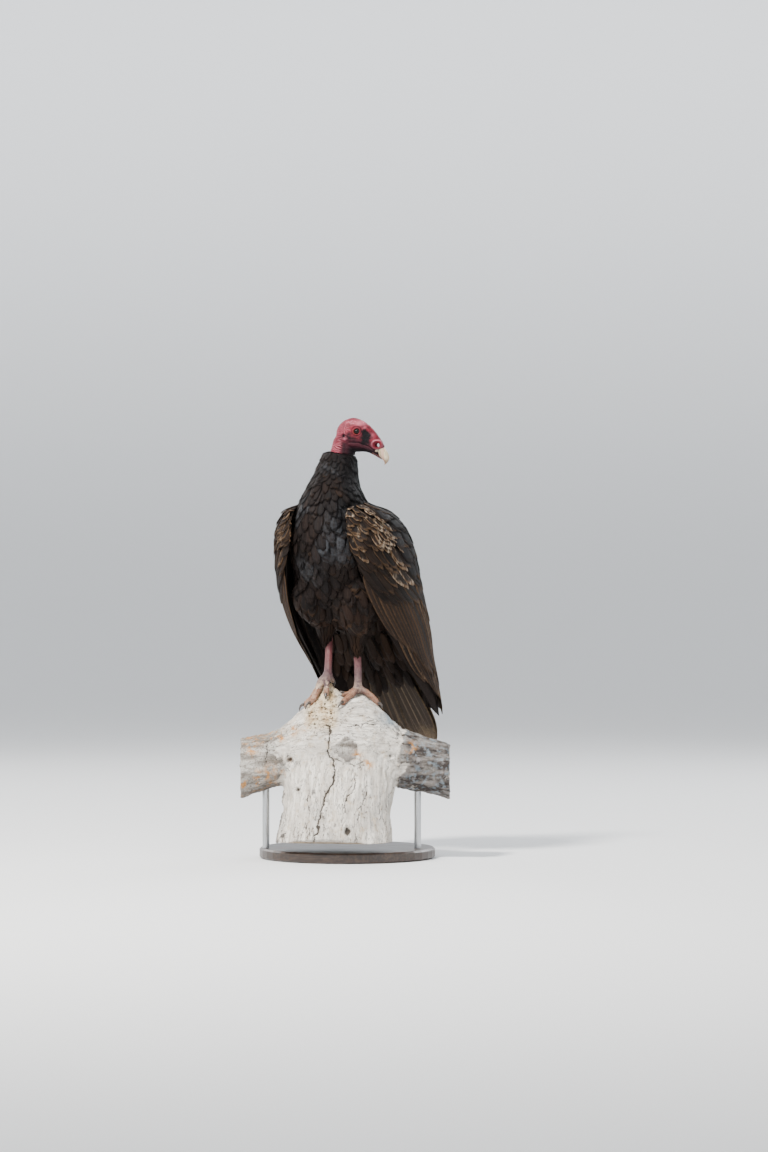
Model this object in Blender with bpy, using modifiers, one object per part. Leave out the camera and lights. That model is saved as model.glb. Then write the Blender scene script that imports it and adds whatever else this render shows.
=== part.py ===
"""A life-size perched turkey vulture on a short cut length of dead limb, held by a plain display stand.

Metres, +Z up. The bird's trunk faces -Y and its left side is +X. The origin is on the base's underside, between the feet.
"""
import bpy
import bmesh
from math import sin, cos, pi, sqrt, radians, exp, atan2
from mathutils import Vector, Matrix

# --- driving sizes -----------------------------------------------------------------------------------------
GAP = 0.0003            # clearance between neighbouring solids
LIMB_TURN = radians(24)  # the limb runs this far round from the bird's left-right axis
PERCH_Z = 0.270         # top of the limb, midway between the feet
LIMB_R = 0.058          # limb radius
LIMB_ENDS = (-0.168, 0.186)
FORK_TURN = radians(-132)  # the front branch leaves the limb this far round from its top
FORK_SWELL = 0.020      # how much the limb swells towards it
LIMB_ARCH = 1.9         # how fast the limb falls away from its crown, per metre
STUB_LOW = 0.034        # height of the trunk stub's sawn underside
LIMB_DROP = 0.032       # how far both arms drop below that, outside the feet
# Lumps on the limb: place along and across it, height and spread.
KNOBS = ((-0.021, 0.004, 0.036, 0.018), (0.036, -0.002, 0.011, 0.022))
BASE_R = 0.150
BASE_T = 0.018
ROD_R = 0.006
ROD_PLACES = (-0.126, 0.132)
ROD_DEPTH = 0.014       # how far each rod goes into the limb

HEAD_EYE = Vector((0.0290, 0.015, 0.7265))  # midline point between the eyes
HEAD_YAW = radians(8)   # the head looks along +X, turned this far towards +Y
HEAD_PITCH = radians(-4)
EYE_R = 0.0056
EYE_OUT = 0.0142        # eye centre to the head's middle plane

ALONG = Vector((cos(LIMB_TURN), sin(LIMB_TURN), 0))    # along the limb
ACROSS = Vector((-sin(LIMB_TURN), cos(LIMB_TURN), 0))  # across it, towards the tail


def clear_scene():
    for obj in list(bpy.data.objects):
        bpy.data.objects.remove(obj)


def new_collection(name, hidden=False):
    made = bpy.data.collections.new(name)
    bpy.context.scene.collection.children.link(made)
    made.hide_render = hidden
    return made


def material(name, colour, roughness, metallic=0.0):
    made = bpy.data.materials.new(name)
    made.use_nodes = True
    shader = made.node_tree.nodes["Principled BSDF"]
    shader.inputs["Base Color"].default_value = (*colour, 1)
    shader.inputs["Roughness"].default_value = roughness
    shader.inputs["Metallic"].default_value = metallic
    return made


def mesh_object(name, mesh, finish=None, cutter=False):
    obj = bpy.data.objects.new(name, mesh)
    (CUTTERS if cutter else VULTURE).objects.link(obj)
    if finish:
        mesh.materials.clear()
        mesh.materials.append(finish)
    if cutter:
        obj.hide_render = True
        obj.display_type = "WIRE"
    return obj


def loft_mesh(name, rings):
    """A closed skin through rings of points, all with the same count, capped at both ends."""
    bm = bmesh.new()
    loops = [[bm.verts.new(p) for p in ring] for ring in rings]
    count = len(rings[0])
    for low, high in zip(loops, loops[1:]):
        for i in range(count):
            j = (i + 1) % count
            bm.faces.new((low[i], low[j], high[j], high[i]))
    for loop in (loops[0], loops[-1]):
        middle = bm.verts.new(sum((v.co for v in loop), Vector()) / count)
        for i in range(count):
            bm.faces.new((loop[i], loop[(i + 1) % count], middle))
    bmesh.ops.recalc_face_normals(bm, faces=bm.faces)
    made = bpy.data.meshes.new(name)
    bm.to_mesh(made)
    bm.free()
    return made


def oval_ring(centre, side, out, half_side, half_out, count=16, squareness=2.0):
    """Points round a superellipse spanned by the unit vectors side and out."""
    ring = []
    for i in range(count):
        a = 2 * pi * i / count
        c, s = cos(a), sin(a)
        power = 2 / squareness
        p = centre + side * half_side * abs(c) ** power * (1 if c >= 0 else -1)
        ring.append(p + out * half_out * abs(s) ** power * (1 if s >= 0 else -1))
    return ring


def tube_mesh(name, path, radii, count=10, flat=1.0, up=Vector((0, 0, 1))):
    """A tapered tube along a path, each section square to it; flat squeezes it towards its path's up side."""
    rings = []
    for i, p in enumerate(path):
        ahead = path[min(i + 1, len(path) - 1)] - path[max(i - 1, 0)]
        side = ahead.cross(up)
        if side.length < 1e-6:
            side = ahead.cross(Vector((1, 0, 0)))
        side.normalize()
        out = side.cross(ahead).normalized()
        rings.append(oval_ring(p, side, out, radii[i], radii[i] * flat, count))
    return loft_mesh(name, rings)


def smooth_path(points, steps):
    """Points read evenly along a Catmull-Rom curve through the given ones; each may hold any number of values."""
    def at(i):
        return points[max(0, min(len(points) - 1, i))]
    made = []
    for n in range(steps + 1):
        t = n / steps * (len(points) - 1)
        i = min(int(t), len(points) - 2)
        f = t - i
        p0, p1, p2, p3 = at(i - 1), at(i), at(i + 1), at(i + 2)
        made.append(tuple(
            0.5 * (2 * b + (c - a) * f + (2 * a - 5 * b + 4 * c - d) * f * f + (3 * b - a - 3 * c + d) * f ** 3)
            for a, b, c, d in zip(p0, p1, p2, p3)))
    return made


def boolean(obj, other, operation="DIFFERENCE"):
    mod = obj.modifiers.new(operation.title(), "BOOLEAN")
    mod.operation = operation
    mod.object = other
    mod.solver = "EXACT"


def baked(obj):
    """The object's mesh with all of its modifiers applied."""
    bpy.context.view_layer.update()
    graph = bpy.context.evaluated_depsgraph_get()
    made = bpy.data.meshes.new_from_object(obj.evaluated_get(graph))
    obj.modifiers.clear()
    obj.data = made
    return obj


def merged(name, meshes, voxel, faces, finish, cutter=False):
    """Overlapping closed meshes melted into one surface and thinned to about that many triangles."""
    bm = bmesh.new()
    for mesh in meshes:
        bm.from_mesh(mesh)
    joined = bpy.data.meshes.new(name)
    bm.to_mesh(joined)
    bm.free()
    obj = mesh_object(name, joined, finish, cutter)
    melt = obj.modifiers.new("Melt", "REMESH")
    melt.mode = "VOXEL"
    melt.voxel_size = voxel
    melt.adaptivity = 0
    ease = obj.modifiers.new("Ease", "SMOOTH")
    ease.iterations = 3
    baked(obj)
    thin = obj.modifiers.new("Thin", "DECIMATE")
    thin.ratio = min(1.0, faces / (2 * len(obj.data.polygons)))
    return baked(obj)


def half_space(name, point, normal, size=0.6):
    """A big box whose one face passes through point, on the side that normal points to."""
    bm = bmesh.new()
    bmesh.ops.create_cube(bm, size=size)
    turn = Vector(normal).to_track_quat("Z", "Y").to_matrix().to_4x4()
    place = Matrix.Translation(Vector(point) + Vector(normal).normalized() * size / 2) @ turn
    bm.transform(place)
    made = bpy.data.meshes.new(name)
    bm.to_mesh(made)
    bm.free()
    return mesh_object(name, made, cutter=True)


# --- the limb ----------------------------------------------------------------------------------------------
def knob(u, w):
    return sum(height * exp(-((u - at_u) ** 2 + 0.5 * (w - at_w) ** 2) / spread ** 2)
               for at_u, at_w, height, spread in KNOBS)


def ease(t):
    t = max(0.0, min(1.0, t))
    return t * t * (3 - 2 * t)


def limb_radius(u):
    return LIMB_R + 0.003 * sin(23 * u + 0.6) - 0.010 * ease((abs(u) - 0.04) / 0.07)


def limb_axis_z(u):
    fall = LIMB_ARCH * u * u / (1 + 16 * u * u)
    return PERCH_Z - LIMB_R - fall - (LIMB_DROP - 0.010) * ease((abs(u) - 0.045) / 0.070)


def limb_point(u, w, z):
    return ALONG * u + ACROSS * w + Vector((0, 0, z))


def limb_top(u, w):
    """Height of the limb's surface over a point of its plan."""
    r = limb_radius(u)
    reach = min(abs(w) / r, 0.995)
    return limb_axis_z(u) + r * sqrt(1 - reach * reach) + knob(u, w)


def limb_normal(u, w, step=0.0005):
    du = (limb_top(u + step, w) - limb_top(u - step, w)) / (2 * step)
    dw = (limb_top(u, w + step) - limb_top(u, w - step)) / (2 * step)
    return (ALONG * -du + ACROSS * -dw + Vector((0, 0, 1))).normalized()


def walk(u, w, heading, length, step=0.002):
    """Plan places reached by walking over the limb's surface, one for each step of its arc."""
    places = [(u, w)]
    for _ in range(round(length / step)):
        du, dw = cos(heading), sin(heading)
        rise = (limb_top(u + du * 1e-4, w + dw * 1e-4) - limb_top(u, w)) / 1e-4
        flat = step / sqrt(1 + rise * rise)
        u, w = u + du * flat, w + dw * flat
        places.append((u, w))
    return places


def limb_mesh(name, count=16, stations=22):
    rings = []
    low, high = LIMB_ENDS
    for n in range(stations + 1):
        u = low + (high - low) * n / stations
        ring = []
        for i in range(count):
            a = 2 * pi * i / count
            swell = FORK_SWELL * exp(-(u / 0.090) ** 2) * max(0.0, cos(a - FORK_TURN)) ** 2
            r = limb_radius(u) + swell
            w, up = r * sin(a), cos(a)
            lift = knob(u, w) * max(0.0, min(1.0, up * 3)) if up > 0 else 0.0
            ring.append(limb_point(u, w, limb_axis_z(u) + r * up + lift))
        rings.append(ring)
    return loft_mesh(name, rings)


def stub_mesh(name):
    """The sawn stub of the trunk that the two arms branch from, leaning towards the front."""
    axis = (ACROSS * -0.36 + Vector((0, 0, -0.93)) + ALONG * -0.07).normalized()
    start = limb_point(0.004, 0.004, limb_axis_z(0) - 0.012)
    side = axis.cross(Vector((0, 0, 1))).normalized()
    out = side.cross(axis).normalized()
    rings = []
    for n in range(9):
        t = n / 8
        r = 0.052 + 0.034 * ease(t / 0.45) + 0.004 * sin(7 * t + 0.4)
        reach = 0.200 * t
        rings.append(oval_ring(start + axis * reach, side, out, r * 1.13, r * 0.86, 20))
    return loft_mesh(name, rings)


def box_mesh(name, size, middle):
    bm = bmesh.new()
    bmesh.ops.create_cube(bm, size=1)
    bm.transform(Matrix.Translation(middle) @ Matrix.Diagonal((*size, 1)))
    made = bpy.data.meshes.new(name)
    bm.to_mesh(made)
    bm.free()
    return made


def limb(finish):
    obj = mesh_object("perch", limb_mesh("perch"), finish)
    stub = mesh_object("perch_stub", stub_mesh("perch_stub"), cutter=True)
    boolean(obj, stub, "UNION")
    boolean(obj, mesh_object("level_cut", box_mesh("level_cut", (0.4, 0.4, 0.2), (0, 0, STUB_LOW - 0.1)), cutter=True))
    for n, u in enumerate(ROD_PLACES):
        hole = rod_mesh(f"hole_{n}", u, ROD_R + GAP, limb_bottom(u) + ROD_DEPTH, 0.02)
        boolean(obj, mesh_object(f"hole_{n}", hole, cutter=True))
    return baked(obj)


# --- the stand ---------------------------------------------------------------------------------------------
def limb_bottom(u):
    return limb_axis_z(u) - limb_radius(u)


def rod_mesh(name, u, radius, top, bottom):
    bm = bmesh.new()
    bmesh.ops.create_cone(bm, cap_ends=True, segments=16, radius1=radius, radius2=radius, depth=top - bottom)
    bm.transform(Matrix.Translation(limb_point(u, 0, (top + bottom) / 2)))
    made = bpy.data.meshes.new(name)
    bm.to_mesh(made)
    bm.free()
    return made


def stand(wood, steel):
    profile = bpy.data.meshes.new("stand_base")
    bm = bmesh.new()
    bmesh.ops.create_cone(bm, cap_ends=True, segments=44, radius1=BASE_R, radius2=BASE_R, depth=BASE_T)
    bm.transform(Matrix.Translation((0, 0.03, BASE_T / 2)))
    bm.to_mesh(profile)
    bm.free()
    base = mesh_object("stand_base", profile, wood)
    edge = base.modifiers.new("Edge", "BEVEL")
    edge.width = 0.003
    edge.segments = 1
    for n, u in enumerate(ROD_PLACES):
        top = limb_bottom(u) + ROD_DEPTH - GAP
        mesh_object(f"stand_rod_{n + 1}", rod_mesh(f"stand_rod_{n + 1}", u, ROD_R, top, BASE_T + GAP), steel)


# --- trunk, neck and thighs --------------------------------------------------------------------------------
# Each station: x, y, z of the middle, half the width, half the depth.
TRUNK_STATIONS = (
    (0.000, 0.170, 0.334, 0.030, 0.015),
    (0.000, 0.134, 0.372, 0.047, 0.035),
    (0.000, 0.095, 0.413, 0.064, 0.058),
    (0.000, 0.055, 0.455, 0.079, 0.080),
    (0.000, 0.017, 0.503, 0.086, 0.092),
    (0.000, -0.012, 0.551, 0.084, 0.090),
    (0.000, -0.023, 0.594, 0.069, 0.073),
    (-0.002, -0.016, 0.628, 0.051, 0.055),
    (-0.002, -0.005, 0.660, 0.0400, 0.0410),
    (-0.002, 0.005, 0.688, 0.0275, 0.0290),
    (-0.001, 0.009, 0.712, 0.0220, 0.0240),
)
NECK_LOW_CUT = ((0, -0.018, 0.620), (0, -0.25, 1))
NECK_TOP_CUT = ((0.004, 0.008, 0.6885), (0.16, 0, 1))


def station_rings(stations, steps, count):
    rings = []
    places = smooth_path(stations, steps)
    for n, (x, y, z, half_w, half_d) in enumerate(places):
        before, after = places[max(n - 1, 0)], places[min(n + 1, steps)]
        ahead = Vector(after[:3]) - Vector(before[:3])
        side = Vector((1, 0, 0)) - ahead * ahead.x / ahead.length_squared
        side.normalize()
        out = side.cross(ahead).normalized()
        rings.append(oval_ring(Vector((x, y, z)), side, out, half_w, half_d, count))
    return rings


def thigh_path(sign):
    """Feathered shin from inside the belly down to the heel."""
    heel = HEELS[sign]
    hip = Vector((sign * 0.034, -0.006, 0.500))
    knee = Vector((sign * 0.045, -0.020, 0.455))
    return [hip, knee, knee.lerp(heel, 0.38) + Vector((0, -0.008, 0)), knee.lerp(heel, 0.74), heel]


def thigh_mesh(sign):
    places = smooth_path([(*p, r) for p, r in zip(thigh_path(sign), (0.010, 0.038, 0.033, 0.020, 0.0095))], 10)
    return tube_mesh("thigh", [Vector(p[:3]) for p in places], [p[3] for p in places], 14,
                     up=Vector((0, 1, 0)))


def trunk_and_neck(black):
    """Trunk, neck and thighs melted together, then parted by thin cuts."""
    whole = [loft_mesh("trunk", station_rings(TRUNK_STATIONS, 30, 24))]
    body = merged("body_whole", whole, 0.005, 1000, black, cutter=True)
    thighs = {sign: merged(f"thigh_whole_{sign}", [thigh_mesh(sign)], 0.003, 200, black, cutter=True)
              for sign in (1, -1)}
    low_point, low_normal = Vector(NECK_LOW_CUT[0]), Vector(NECK_LOW_CUT[1]).normalized()
    top_point, top_normal = Vector(NECK_TOP_CUT[0]), Vector(NECK_TOP_CUT[1]).normalized()
    trunk = mesh_object("trunk", body.data.copy(), black)
    boolean(trunk, half_space("above_trunk", low_point, low_normal))
    neck = mesh_object("neck", body.data.copy(), black)
    boolean(neck, half_space("below_neck", low_point + low_normal * GAP, -low_normal))
    boolean(neck, half_space("above_neck", top_point, top_normal))
    baked(trunk)
    baked(neck)
    return trunk, neck, thighs


def shrunk_or_grown(name, obj, distance):
    """A copy of a mesh with every point moved along its normal, as a cutter."""
    made = mesh_object(name, obj.data.copy(), cutter=True)
    mesh = made.data
    normals = [v.normal.copy() for v in mesh.vertices]
    for v, n in zip(mesh.vertices, normals):
        v.co += n * distance
    return made


# --- wings -------------------------------------------------------------------------------------------------
# The folded wings wrap the trunk. Each level: z, middle y, half width, half depth, and the angles from the side
# at which the shell starts in front and ends behind, then its greatest thickness.
WING_LEVELS = (
    (0.601, -0.018, 0.066, 0.046, 50, -66, 0.010),
    (0.590, -0.014, 0.087, 0.076, 60, -76, 0.020),
    (0.560, 0.006, 0.108, 0.098, 65, -80, 0.026),
    (0.520, 0.024, 0.117, 0.114, 64, -81, 0.028),
    (0.474, 0.040, 0.119, 0.118, 59, -82, 0.026),
    (0.430, 0.060, 0.118, 0.113, 54, -82, 0.022),
    (0.386, 0.090, 0.114, 0.098, 49, -82, 0.017),
    (0.338, 0.127, 0.107, 0.078, 42, -79, 0.012),
    (0.287, 0.166, 0.100, 0.050, 32, -63, 0.008),
    (0.250, 0.196, 0.094, 0.026, 20, -52, 0.005),
)
WING_BOXINESS = 2.6


def shell_point(level, angle, inset, sign):
    z, middle, half_w, half_d = level[:4]
    c, s = cos(angle), sin(angle)
    power = 2 / WING_BOXINESS
    x = (half_w - inset) * abs(c) ** power
    y = middle - (half_d - inset) * abs(s) ** power * (1 if s >= 0 else -1)
    return Vector((sign * x, y, z))


def wing_mesh(sign, levels=17, columns=9):
    rings = []
    for level in smooth_path(WING_LEVELS, levels):
        front, back, thick = radians(level[4]), radians(level[5]), level[6]
        outer, inner = [], []
        for i in range(columns + 1):
            t = i / columns
            angle = front + (back - front) * t
            outer.append(shell_point(level, angle, 0, sign))
            inner.append(shell_point(level, angle, thick * (1 - abs(2 * t - 1) ** 3) + 0.0012, sign))
        rings.append(outer + inner[::-1])
    return loft_mesh("wing", rings)


def wings(black, trunk, thighs):
    trunk_grown = shrunk_or_grown("trunk_grown_for_wing", trunk, 2 * GAP)
    made = {}
    for sign, side in ((1, "left"), (-1, "right")):
        wing = mesh_object(f"wing_{side}", wing_mesh(sign), black)
        boolean(wing, trunk_grown)
        boolean(wing, shrunk_or_grown(f"thigh_grown_{side}", thighs[sign], 2 * GAP))
        made[sign] = baked(wing)
    return made


# --- tail --------------------------------------------------------------------------------------------------
# Each station: y, z, half the width, half the thickness.
TAIL_STATIONS = (
    (0.130, 0.372, 0.018, 0.006),
    (0.165, 0.336, 0.030, 0.007),
    (0.205, 0.293, 0.046, 0.007),
    (0.256, 0.240, 0.055, 0.006),
    (0.284, 0.211, 0.053, 0.005),
    (0.298, 0.196, 0.036, 0.003),
)


def tail(black, trunk, wing_pair):
    rings = []
    places = smooth_path(TAIL_STATIONS, 10)
    for n, (y, z, half_w, half_t) in enumerate(places):
        before, after = places[max(n - 1, 0)], places[min(n + 1, len(places) - 1)]
        ahead = Vector((0, after[0] - before[0], after[1] - before[1])).normalized()
        side = Vector((1, 0, 0))
        out = side.cross(ahead)
        ring = oval_ring(Vector((0, y, z)), side, out, half_w, half_t, 14)
        rings.append([p - out * 0.006 * (p.x / half_w) ** 2 for p in ring])
    obj = mesh_object("tail", loft_mesh("tail", rings), black)
    boolean(obj, shrunk_or_grown("trunk_grown_for_tail", trunk, 2 * GAP))
    for sign, wing in wing_pair.items():
        boolean(obj, shrunk_or_grown(f"wing_grown_{sign}", wing, 2 * GAP))
    return baked(obj)


# --- head --------------------------------------------------------------------------------------------------
def head_matrix():
    turn = Matrix.Rotation(HEAD_YAW, 4, "Z") @ Matrix.Rotation(-HEAD_PITCH, 4, "Y")
    return Matrix.Translation(HEAD_EYE) @ turn


# Millimetres ahead of the eye: top and bottom of the profile, half the width, and how boxy the section is.
HEAD_STATIONS = (
    (-38.5, 0.0, -12.0, 5.0, 2.0),
    (-36.8, 6.0, -20.0, 11.0, 2.0),
    (-32.0, 12.8, -28.0, 15.0, 2.0),
    (-25.5, 18.2, -33.0, 17.4, 2.0),
    (-17.0, 21.8, -35.0, 18.6, 2.0),
    (-8.0, 22.8, -35.5, 18.6, 2.1),
    (2.0, 20.2, -34.5, 17.4, 2.2),
    (10.0, 16.4, -33.8, 15.0, 2.3),
    (18.0, 11.4, -34.2, 12.2, 2.3),
    (25.0, 5.6, -36.6, 10.6, 2.2),
    (32.0, -1.4, -40.0, 9.4, 2.2),
    (38.0, -8.8, -39.5, 8.2, 2.1),
    (42.5, -15.2, -34.0, 7.0, 2.0),
    (45.4, -20.8, -28.5, 5.0, 2.0),
)
MM = 0.001
# Sections of the hooked upper bill: f and z of its front edge, then of its cutting edge, and half its width.
BILL_SECTIONS = (
    (46.6, -23.8, 33.0, -30.4, 7.2),
    (52.0, -30.2, 36.6, -36.0, 6.9),
    (55.4, -36.4, 41.2, -41.4, 6.0),
    (56.4, -41.8, 45.4, -45.6, 4.7),
    (55.2, -46.6, 48.0, -49.0, 3.0),
    (52.2, -51.0, 48.6, -52.0, 1.5),
    (48.8, -53.6, 48.2, -53.4, 0.5),
)
# Middle line of the lower bill: f, z, half its width and half its height.
LOWER_BILL = ((27.0, -34.2, 6.6, 3.2), (33.0, -37.0, 5.6, 2.8), (38.5, -40.4, 3.8, 2.2), (43.4, -44.0, 1.2, 0.9))
NOSTRIL_AT = Vector((35.6, 0, -20.6))


def head_loft():
    rings = []
    for f, top, low, half_w, square in smooth_path(HEAD_STATIONS, 30):
        centre = Vector((f, 0, (top + low) / 2)) * MM
        rings.append(oval_ring(centre, Vector((0, 1, 0)), Vector((0, 0, 1)),
                               half_w * MM, (top - low) / 2 * MM, 24, square))
    return loft_mesh("skull", rings)


def nape_loft():
    """Bald nape and throat, from inside the skull down into the ruff: f, z, half width, half depth."""
    places = smooth_path(((-19, -6, 17, 18.5), (-25, -18, 17.5, 19), (-26, -31, 19, 20.5), (-27, -46, 21.5, 22.5)), 8)
    rings = [oval_ring(Vector((f, 0, z)) * MM, Vector((0, 1, 0)), Vector((1, 0, 0)), w * MM, d * MM, 20)
             for f, z, w, d in places]
    return loft_mesh("nape", rings)


def ball_mesh(name, centre, radius, rows=12, columns=18, squeeze=(1, 1, 1)):
    bm = bmesh.new()
    bmesh.ops.create_uvsphere(bm, u_segments=columns, v_segments=rows, radius=radius)
    bm.transform(Matrix.Translation(centre) @ Matrix.Diagonal((*squeeze, 1)))
    made = bpy.data.meshes.new(name)
    bm.to_mesh(made)
    bm.free()
    return made


def bill_mesh(name, grow=0.0):
    rings = []
    for front_f, front_z, back_f, back_z, half_w in smooth_path(BILL_SECTIONS, 11):
        front, back = Vector((front_f, 0, front_z)) * MM, Vector((back_f, 0, back_z)) * MM
        out = (front - back) / 2
        rings.append(oval_ring((front + back) / 2, Vector((0, 1, 0)), out.normalized(),
                               half_w * MM + grow, out.length + grow, 12))
    if grow:
        lift = Vector((-0.335, 0, 0.942)) * grow
        rings[0] = [p + lift for p in rings[0]]
    return loft_mesh(name, rings)


def lower_bill_mesh(name, grow=0.0):
    rings = [oval_ring(Vector((f, 0, z)) * MM, Vector((0, 1, 0)), Vector((0.5, 0, 0.87)).normalized(),
                       w * MM + grow, h * MM + grow, 10) for f, z, w, h in smooth_path(LOWER_BILL, 6)]
    return loft_mesh(name, rings)


def head(red, horn, glass):
    """Skull and nape in one, with the see-through nostril, the eye sockets and a seat for each bill half."""
    place = head_matrix()
    skull = merged("head", [head_loft(), nape_loft()], 0.0016, 880, red)
    skull.data.transform(place)
    cutters = []
    nostril = ball_mesh("nostril", NOSTRIL_AT * MM, 3.1 * MM, 7, 10)
    nostril.transform(Matrix.Diagonal((1, 8, 1, 1)))
    cutters.append(mesh_object("nostril", nostril, cutter=True))
    for side in (1, -1):
        spot = Vector((0, side * EYE_OUT, 0))
        cutters.append(mesh_object(f"socket_{side}", ball_mesh("socket", spot, EYE_R + 2 * GAP, 7, 12), cutter=True))
        eye = mesh_object("eye_left" if side > 0 else "eye_right", ball_mesh("eye", spot, EYE_R, 7, 12), glass)
        eye.data.transform(place)
    bill_grown = mesh_object("bill_grown", bill_mesh("bill_grown", 1.5 * GAP), cutter=True)
    cutters.append(bill_grown)
    cutters.append(mesh_object("lower_bill_grown", lower_bill_mesh("lower_bill_grown", 1.5 * GAP), cutter=True))
    for obj in cutters:
        obj.data.transform(place)
        boolean(skull, obj)
    top_normal = Vector(NECK_TOP_CUT[1]).normalized()
    boolean(skull, half_space("below_head", Vector(NECK_TOP_CUT[0]) + top_normal * GAP, -top_normal))
    upper = mesh_object("bill_upper", bill_mesh("bill_upper"), horn)
    lower = mesh_object("bill_lower", lower_bill_mesh("bill_lower"), horn)
    for obj in (upper, lower):
        obj.data.transform(place)
    boolean(lower, bill_grown)
    baked(skull)
    baked(lower)


# --- legs and feet -----------------------------------------------------------------------------------------
HUBS = {1: (0.0315, -0.004), -1: (-0.0205, 0.000)}   # plan places of the feet on the limb, by side
HEELS = {1: Vector((0.0250, 0.014, 0.361)), -1: Vector((-0.0310, 0.022, 0.382))}
HUB_LIFT = 0.0085
SHANK_R = 0.0061
# Each toe: name, heading in degrees round from the limb's own direction, length, root and tip radius, claw length.
TOES = {
    1: (("inner", 186, 0.030, 0.0050, 0.0037, 0.014), ("middle", 226, 0.045, 0.0053, 0.0038, 0.018),
        ("outer", 348, 0.039, 0.0051, 0.0037, 0.016), ("hind", 95, 0.017, 0.0048, 0.0036, 0.012)),
    -1: (("outer", 185, 0.062, 0.0052, 0.0037, 0.018), ("middle", 214, 0.056, 0.0054, 0.0039, 0.019),
         ("inner", 264, 0.036, 0.0052, 0.0038, 0.015), ("hind", 62, 0.017, 0.0048, 0.0036, 0.012)),
}


def hub_point(sign):
    u, w = HUBS[sign]
    return limb_point(u, w, limb_top(u, w)) + limb_normal(u, w) * HUB_LIFT


def over_limb(place, height):
    u, w = place
    return limb_point(u, w, limb_top(u, w)) + limb_normal(u, w) * height


def toe_parts(sign, toe):
    """A toe's tube with its knuckles, and its claw's path and radii."""
    name, heading, length, root, tip, claw = toe
    places = walk(*HUBS[sign], radians(heading), length + claw * 0.72)
    split = round(length / 0.002)
    path, radii = [], []
    for n, place in enumerate(places[:split + 1]):
        t = n / split
        r = root + (tip - root) * t + 0.0006 * max(0, sin(t * pi * 3.2)) ** 2
        path.append(over_limb(place, r * 0.92 + (HUB_LIFT - root) * (1 - t) ** 3 * 0.6))
        radii.append(r)
    claw_path, claw_radii = [], []
    rest = places[split - 2:]
    for n, place in enumerate(rest[::2]):
        t = min(1.0, 2 * n / (len(rest) - 1))
        claw_path.append(over_limb(place, tip * 0.95 * (1 - t) + 0.0046 * sin(pi * t ** 0.9) + 0.0010 * t))
        claw_radii.append(0.0027 * (1 - t) ** 0.75 + 0.0005)
    return tube_mesh(name, path, radii, 12), claw_path, claw_radii


def shank_path(sign):
    hub = hub_point(sign)
    heel = HEELS[sign]
    bend = hub.lerp(heel, 0.5) + Vector((0, 0.002, 0))
    return [Vector(p[:3]) for p in smooth_path([tuple(hub + Vector((0, 0, 0.001))), tuple(bend), tuple(heel + (heel - hub) * 0.10)], 8)]


def shank_mesh(sign, grow=0.0):
    path = shank_path(sign)
    radii = [SHANK_R + 0.0016 * abs(1 - 2 * n / 8) ** 3 + grow for n in range(9)]
    if grow:
        ahead = (path[-1] - path[-2]).normalized()
        path[-1] = path[-1] + ahead * grow
        path[0] = path[0] - (path[1] - path[0]).normalized() * grow
    return tube_mesh("shank", path, radii, 10)


def legs(skin, claw_black, thighs, black, trunk, perch):
    ground = shrunk_or_grown("perch_grown", perch, 2 * GAP)
    trunk_grown = shrunk_or_grown("trunk_grown", trunk, GAP)
    for sign, side in ((1, "left"), (-1, "right")):
        hub = hub_point(sign)
        pieces = [ball_mesh("hub", hub, 0.0088, 8, 12, (1, 1, 1))]
        claws = []
        for toe in TOES[sign]:
            tube, claw_path, claw_radii = toe_parts(sign, toe)
            pieces.append(tube)
            claws.append((toe[0], claw_path, claw_radii))
        foot = merged(f"foot_{side}", pieces, 0.0016, 370, skin)
        shank = mesh_object(f"shank_{side}", shank_mesh(sign), skin)
        shank_cutter = mesh_object(f"shank_cutter_{side}", shank_mesh(sign, GAP), cutter=True)
        boolean(foot, ground)
        boolean(foot, shank_cutter)
        for name, path, radii in claws:
            claw = mesh_object(f"claw_{side}_{name}", tube_mesh("claw", path, radii, 7), claw_black)
            wide = [r + GAP for r in radii]
            longer = [path[0] - (path[1] - path[0]).normalized() * GAP] + path[1:]
            cutter = mesh_object(f"claw_cutter_{side}_{name}", tube_mesh("claw", longer, wide, 7), cutter=True)
            boolean(foot, cutter)
            boolean(claw, ground)
            baked(claw)
        baked(foot)
        boolean(shank, ground)
        baked(shank)
        thigh = mesh_object(f"thigh_{side}", thighs[sign].data.copy(), black)
        boolean(thigh, trunk_grown)
        boolean(thigh, shank_cutter)
        baked(thigh)


def main():
    global VULTURE, CUTTERS
    clear_scene()
    VULTURE = new_collection("turkey_vulture")
    CUTTERS = new_collection("cutters", hidden=True)
    black = material("plumage", (0.028, 0.024, 0.022), 0.6)
    red = material("bare_skin", (0.45, 0.08, 0.09), 0.5)
    leg_skin = material("leg_skin", (0.55, 0.30, 0.26), 0.6)
    horn = material("bill_horn", (0.80, 0.74, 0.62), 0.35)
    claw_black = material("claw_horn", (0.03, 0.028, 0.028), 0.3)
    glass = material("eye", (0.05, 0.03, 0.02), 0.08)
    wood = material("dead_wood", (0.55, 0.50, 0.43), 0.85)
    board = material("stand_board", (0.10, 0.09, 0.085), 0.45)
    steel = material("stand_steel", (0.45, 0.45, 0.46), 0.3, 1.0)
    perch = limb(wood)
    stand(board, steel)
    trunk, neck, thighs = trunk_and_neck(black)
    head(red, horn, glass)
    legs(leg_skin, claw_black, thighs, black, trunk, perch)
    wing_pair = wings(black, trunk, thighs)
    tail(black, trunk, wing_pair)


main()
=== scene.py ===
import math
import bpy
import numpy as np
from mathutils import Vector, Matrix, noise
from mathutils.bvhtree import BVHTree


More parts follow.
